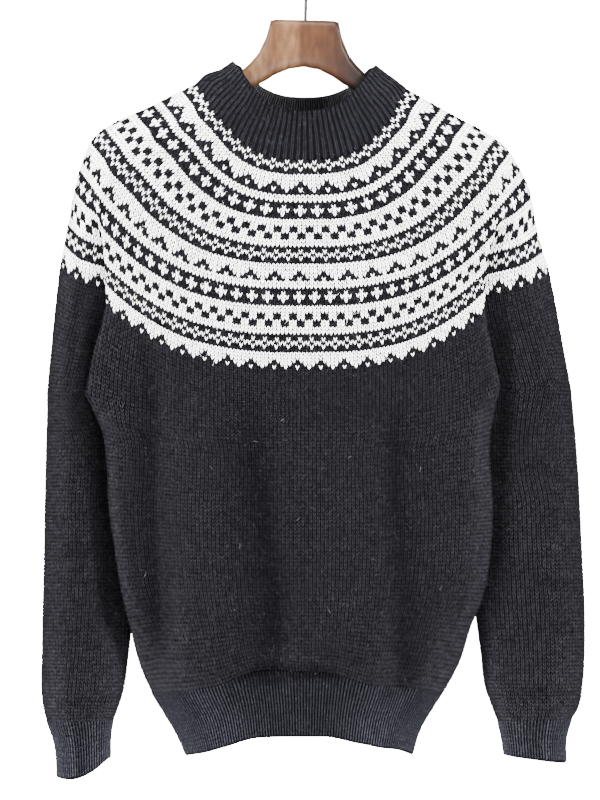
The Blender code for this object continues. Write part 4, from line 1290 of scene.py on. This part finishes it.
def wool_material(yarn):
    """Woollen yarn: uneven dye, a soft nap, painted shade in the pits between the legs, and a tone that can
    change with height.
    """
    material, nodes, links, shader = new_material(yarn.name)
    cloudy = noise(nodes, links, 420.0, 6.0)
    color = ramp(nodes, links, cloudy.outputs["Fac"], ((0.3, yarn.low), (0.7, yarn.high)))
    # Tone by height, lighter downwards: on the body's yarn towards its bottom, and on the ribbing's yarn as
    # painted shade at its top
    if yarn.fade is not None:
        place = nodes.new("ShaderNodeTexCoord")
        split = nodes.new("ShaderNodeSeparateXYZ")
        level = nodes.new("ShaderNodeMapRange")
        for socket, value in zip(("From Min", "From Max", "To Min", "To Max"), yarn.fade):
            level.inputs[socket].default_value = value
        links.new(place.outputs["Object"], split.inputs["Vector"])
        links.new(split.outputs["Z"], level.inputs["Value"])
        color = scaled(nodes, links, color, level.outputs["Result"])
    # Painted shade: the colour darkens from the crests down to the share left in the pits
    if yarn.pit is not None:
        crest = nodes.new("ShaderNodeAttribute")
        crest.attribute_name = "crest"
        light = nodes.new("ShaderNodeMapRange")
        light.inputs["To Min"].default_value = yarn.pit
        links.new(crest.outputs["Fac"], light.inputs["Value"])
        color = scaled(nodes, links, color, light.outputs["Result"])
    links.new(color, shader.inputs["Base Color"])
    shader.inputs["Roughness"].default_value = 0.95
    shader.inputs["Specular IOR Level"].default_value = WOOL_GLOSS
    shader.inputs["Sheen Weight"].default_value = yarn.sheen
    shader.inputs["Sheen Roughness"].default_value = 0.45
    shader.inputs["Sheen Tint"].default_value = (*yarn.tint, 1.0)
    fibres = noise(nodes, links, 2600.0, 3.0)
    normal = bumped(nodes, links, fibres.outputs["Fac"], 0.6, 0.0003)
    links.new(normal, shader.inputs["Normal"])
    return material


def wood_material():
    """Mid-brown wood with fine flecks under a satin lacquer, painted highlights, and painted shade to the
    wearer's left.
    """
    material, nodes, links, shader = new_material("hanger_lacquered_wood")
    grain = noise(nodes, links, 190.0, 8.0, (1.0, 1.0, 0.35))
    color = ramp(nodes, links, grain.outputs["Fac"], WOOD_GRAIN)
    # Painted highlights and painted shade along X, multiplied into the wood's colour
    place = nodes.new("ShaderNodeTexCoord")
    split = nodes.new("ShaderNodeSeparateXYZ")
    across = nodes.new("ShaderNodeMapRange")
    across.inputs["From Min"].default_value = -PAINTED_LIGHT_AND_SHADE_HALF_WIDTH
    across.inputs["From Max"].default_value = PAINTED_LIGHT_AND_SHADE_HALF_WIDTH
    shade = ramp(nodes, links, across.outputs["Result"], WOOD_PAINTED_LIGHT_AND_SHADE)
    toned = nodes.new("ShaderNodeVectorMath")
    toned.operation = "MULTIPLY"
    links.new(place.outputs["Object"], split.inputs["Vector"])
    links.new(split.outputs["X"], across.inputs["Value"])
    links.new(color, toned.inputs[0])
    links.new(shade, toned.inputs[1])
    links.new(toned.outputs["Vector"], shader.inputs["Base Color"])
    shader.inputs["Roughness"].default_value = 0.55
    shader.inputs["Specular IOR Level"].default_value = 0.05
    shader.inputs["Coat Weight"].default_value = 0.05
    shader.inputs["Coat Roughness"].default_value = 0.3
    normal = bumped(nodes, links, grain.outputs["Fac"], 0.25, 0.0004)
    links.new(normal, shader.inputs["Normal"])
    links.new(normal, shader.inputs["Coat Normal"])
    return material


def steel_material():
    """Dark plated wire, slightly worn."""
    material, nodes, links, shader = new_material("hook_plated_steel")
    wear = noise(nodes, links, 300.0, 4.0)
    color = ramp(nodes, links, wear.outputs["Fac"], STEEL_WEAR)
    links.new(color, shader.inputs["Base Color"])
    shader.inputs["Metallic"].default_value = 1.0
    shader.inputs["Roughness"].default_value = 0.35
    return material


def plain_material(name, color, roughness):
    material, _, _, shader = new_material(name)
    shader.inputs["Base Color"].default_value = (*color, 1.0)
    shader.inputs["Roughness"].default_value = roughness
    return material


def make_studio():
    """A pale floor, a bright panel far behind, soft lights and the camera."""
    square = ((-1, -1), (1, -1), (1, 1), (-1, 1))
    corners = [(FLOOR_HALF * x, FLOOR_HALF * y, FLOOR_HEIGHT) for x, y in square]
    paper = plain_material("studio_paper", (0.85, 0.85, 0.85), 0.9)
    floor = make_object("studio_floor", corners, [(0, 1, 2, 3)], paper)
    glow = plain_material("studio_panel_white", (1.0, 1.0, 1.0), 0.9)
    shader = glow.node_tree.nodes["Principled BSDF"]
    shader.inputs["Emission Color"].default_value = (1.0, 1.0, 1.0, 1.0)
    shader.inputs["Emission Strength"].default_value = PANEL_GLOW
    heights = {-1: PANEL_BOTTOM, 1: PANEL_TOP}
    corners = [(PANEL_HALF * x, PANEL_DISTANCE, heights[z]) for x, z in square]
    panel = make_object("studio_panel", corners, [(0, 1, 2, 3)], glow)

    for name, place, aim, size, power in LIGHTS:
        data = bpy.data.lights.new(name, "AREA")
        data.shape = "RECTANGLE"
        data.size, data.size_y = size
        data.energy = power
        lamp = new_object(name, data)
        lamp.location = place
        lamp.rotation_mode = "QUATERNION"
        lamp.rotation_quaternion = (Vector(aim) - Vector(place)).to_track_quat("-Z", "Y")
    world = bpy.data.worlds.new("studio")
    world.use_nodes = True
    background = world.node_tree.nodes["Background"]
    background.inputs["Color"].default_value = (1.0, 1.0, 1.0, 1.0)
    background.inputs["Strength"].default_value = WORLD_LIGHT
    bpy.context.scene.world = world

    data = bpy.data.cameras.new("camera")
    camera = new_object("camera", data)
    data.sensor_width = SENSOR
    data.lens = SENSOR * CAMERA_DISTANCE / VIEW_HEIGHT
    data.clip_end = 100.0
    camera.location = (VIEW_CENTRE[0], -CAMERA_DISTANCE, VIEW_CENTRE[1])
    camera.rotation_euler = (math.pi / 2, 0.0, 0.0)
    bpy.context.scene.camera = camera


def plain_pieces(node, top_name, grids, closed, folds, fibres, materials, rng):
    """A node's plain stitches, fibres and upper wall, then its lower wall."""
    top, top_wall, bottom = grids
    stitches = Stitches(*folds)
    stitches.add_grid(top, False)
    stitches.add_grid(bottom, closed)
    legs = stitches.make(node + "_stitches", materials["dark"], rng, length=1.05)
    fuzz = stitches.fuzz(node + "_fuzz", materials["fibre"], rng, fibres)
    upper_wall = shell(node + top_name, top_wall, False, materials["under"])
    lower_wall = shell(node + "_cloth", halved(bottom), closed, materials["under"])
    join(node, "plain_wool", legs, fuzz, upper_wall, lower_wall)
    return legs, fuzz, upper_wall, lower_wall


def main():
    """The whole garment on its hanger, from the yoke down, and the studio round it."""
    rng = np.random.default_rng(SEED)
    materials = {key: wool_material(yarn) for key, yarn in YARNS.items()}
    upper, body, sleeves = cloth_nets()
    body_rows = (UNDERARM_ROW,) + BODY_ROWS
    sleeve_rows = (UNDERARM_ROW,) + SLEEVE_ROWS

    wall, legs = yoke_pieces(upper, rng, materials)
    join("yoke", "patterned_wool", wall, *legs)

    chest_rows = even_rows(UPPER_ROWS, upper, 0, YOKE_EDGE_ROW, UNDERARM_ROW, CHEST_ROWS)
    low_rows = even_rows(body_rows, body, 0, UNDERARM_ROW, BODY_ROWS[-1], BODY_KNIT_ROWS)
    marks = [TROUGH, BACK_TROUGH, UPPER_POINTS - BACK_TROUGH, UPPER_POINTS - TROUGH]
    front_net = np.roll(upper, TROUGH * DENSE, axis=1)
    back_net = upper[:, marks[1] * DENSE : marks[2] * DENSE + 1]
    front_top = panel_grid(UPPER_ROWS, front_net[:, : 2 * TROUGH * DENSE + 1], chest_rows, FRONT_HALF)
    back_top = panel_grid(UPPER_ROWS, back_net, chest_rows, BACK_HALF)
    low = body_grid(body_rows, body, low_rows)
    seam = FRONT_HALF + BODY_SIDE_COLUMNS // 2
    front_top = folded(front_top, FRONT_FOLDS, [], False)
    back_top = folded(back_top, [], BACK_FOLDS, False)
    low = settled(folded(low, FRONT_FOLDS, BACK_FOLDS, True))
    join("front", "plain_wool", make_lint(low, materials["lint"]))
    ring = low[:, :-1]
    total = ring.shape[1]
    front_low = ring[:, np.arange(-seam, seam + 1) % total]
    back_low = ring[:, np.arange(seam, total - seam + 1)]
    for node, top, bottom in (("front", front_top, front_low), ("back", back_top, back_low)):
        legs, fuzz, upper_wall, lower_wall = plain_pieces(
            node, "_chest_cloth", (top, top[::2, ::2], bottom), False, (FRONT_FOLDS, BACK_FOLDS), BODY_FIBRES,
            materials, rng,
        )

    hem_keys = [BODY[-1].row] + [row.row for row in HEM]
    hem_lines = [body[-1]] + [closed_curve(body_controls(row)) for row in HEM]
    wall, made = rib_band(
        "hem_cloth", hem_keys, hem_lines, HEM_RIBS, BAND_RIBBING, materials, rng,
        shape=settled_hem, folds=(FRONT_FOLDS, BACK_FOLDS),
    )
    join("hem_rib", "rib_wool", wall, *made)

    for side, name in ((RIGHT, "right"), (LEFT, "left")):
        first, last = (marks[0], marks[1]) if side == RIGHT else (marks[2], marks[3])
        middle = (first + last) // 2
        top_rows = even_rows(
            UPPER_ROWS, upper, middle * DENSE, YOKE_EDGE_ROW, UNDERARM_ROW, SLEEVE_TOP_ROWS
        )
        top = open_grid(UPPER_ROWS, upper, top_rows, [first * DENSE, last * DENSE], [SLEEVE_COLUMNS])
        net = sleeves[side]
        rows = even_rows(sleeve_rows, net, 2 * DENSE, UNDERARM_ROW, SLEEVE_ROWS[-1], SLEEVE_KNIT_ROWS)
        columns = [SLEEVE_COLUMNS, SLEEVE_INNER_COLUMNS]
        low = spreading_grid(sleeve_rows, net, rows, [0, 4 * DENSE, 6 * DENSE], columns)
        top = folded(top, SLEEVE_FOLDS, SLEEVE_BACK_FOLDS, False)
        low = folded(low, SLEEVE_FOLDS, SLEEVE_BACK_FOLDS, True)
        node = "sleeve_" + name
        legs, fuzz, upper_wall, lower_wall = plain_pieces(
            node, "_top_cloth", (top, halved(top), low), True, (SLEEVE_FOLDS, SLEEVE_BACK_FOLDS),
            SLEEVE_FIBRES, materials, rng,
        )

        node = "cuff_" + name
        keys = [SLEEVES[side][-1].row] + [row.row for row in CUFFS[side]]
        lines = [net[-1]] + [closed_curve(sleeve_controls(side, row)) for row in CUFFS[side]]
        wall, made = rib_band(
            node + "_cloth", keys, lines, CUFF_RIBS, BAND_RIBBING, materials, rng,
            shape=lowered_cuff if side == RIGHT else None,
        )
        join(node, "rib_wool", wall, *made)

    keys = [0.0] + [row.share for row in COLLAR]
    lines = [upper[0]] + collar_curves()
    wall, made = rib_band("collar_cloth", keys, lines, COLLAR_RIBS, COLLAR_RIBBING, materials, rng)
    join("collar", "rib_wool", wall, *made)

    join("hanger", "lacquered_wood", make_hanger(wood_material()))
    join("hook", "hook_steel", make_hook(steel_material()))
    make_studio()


main()
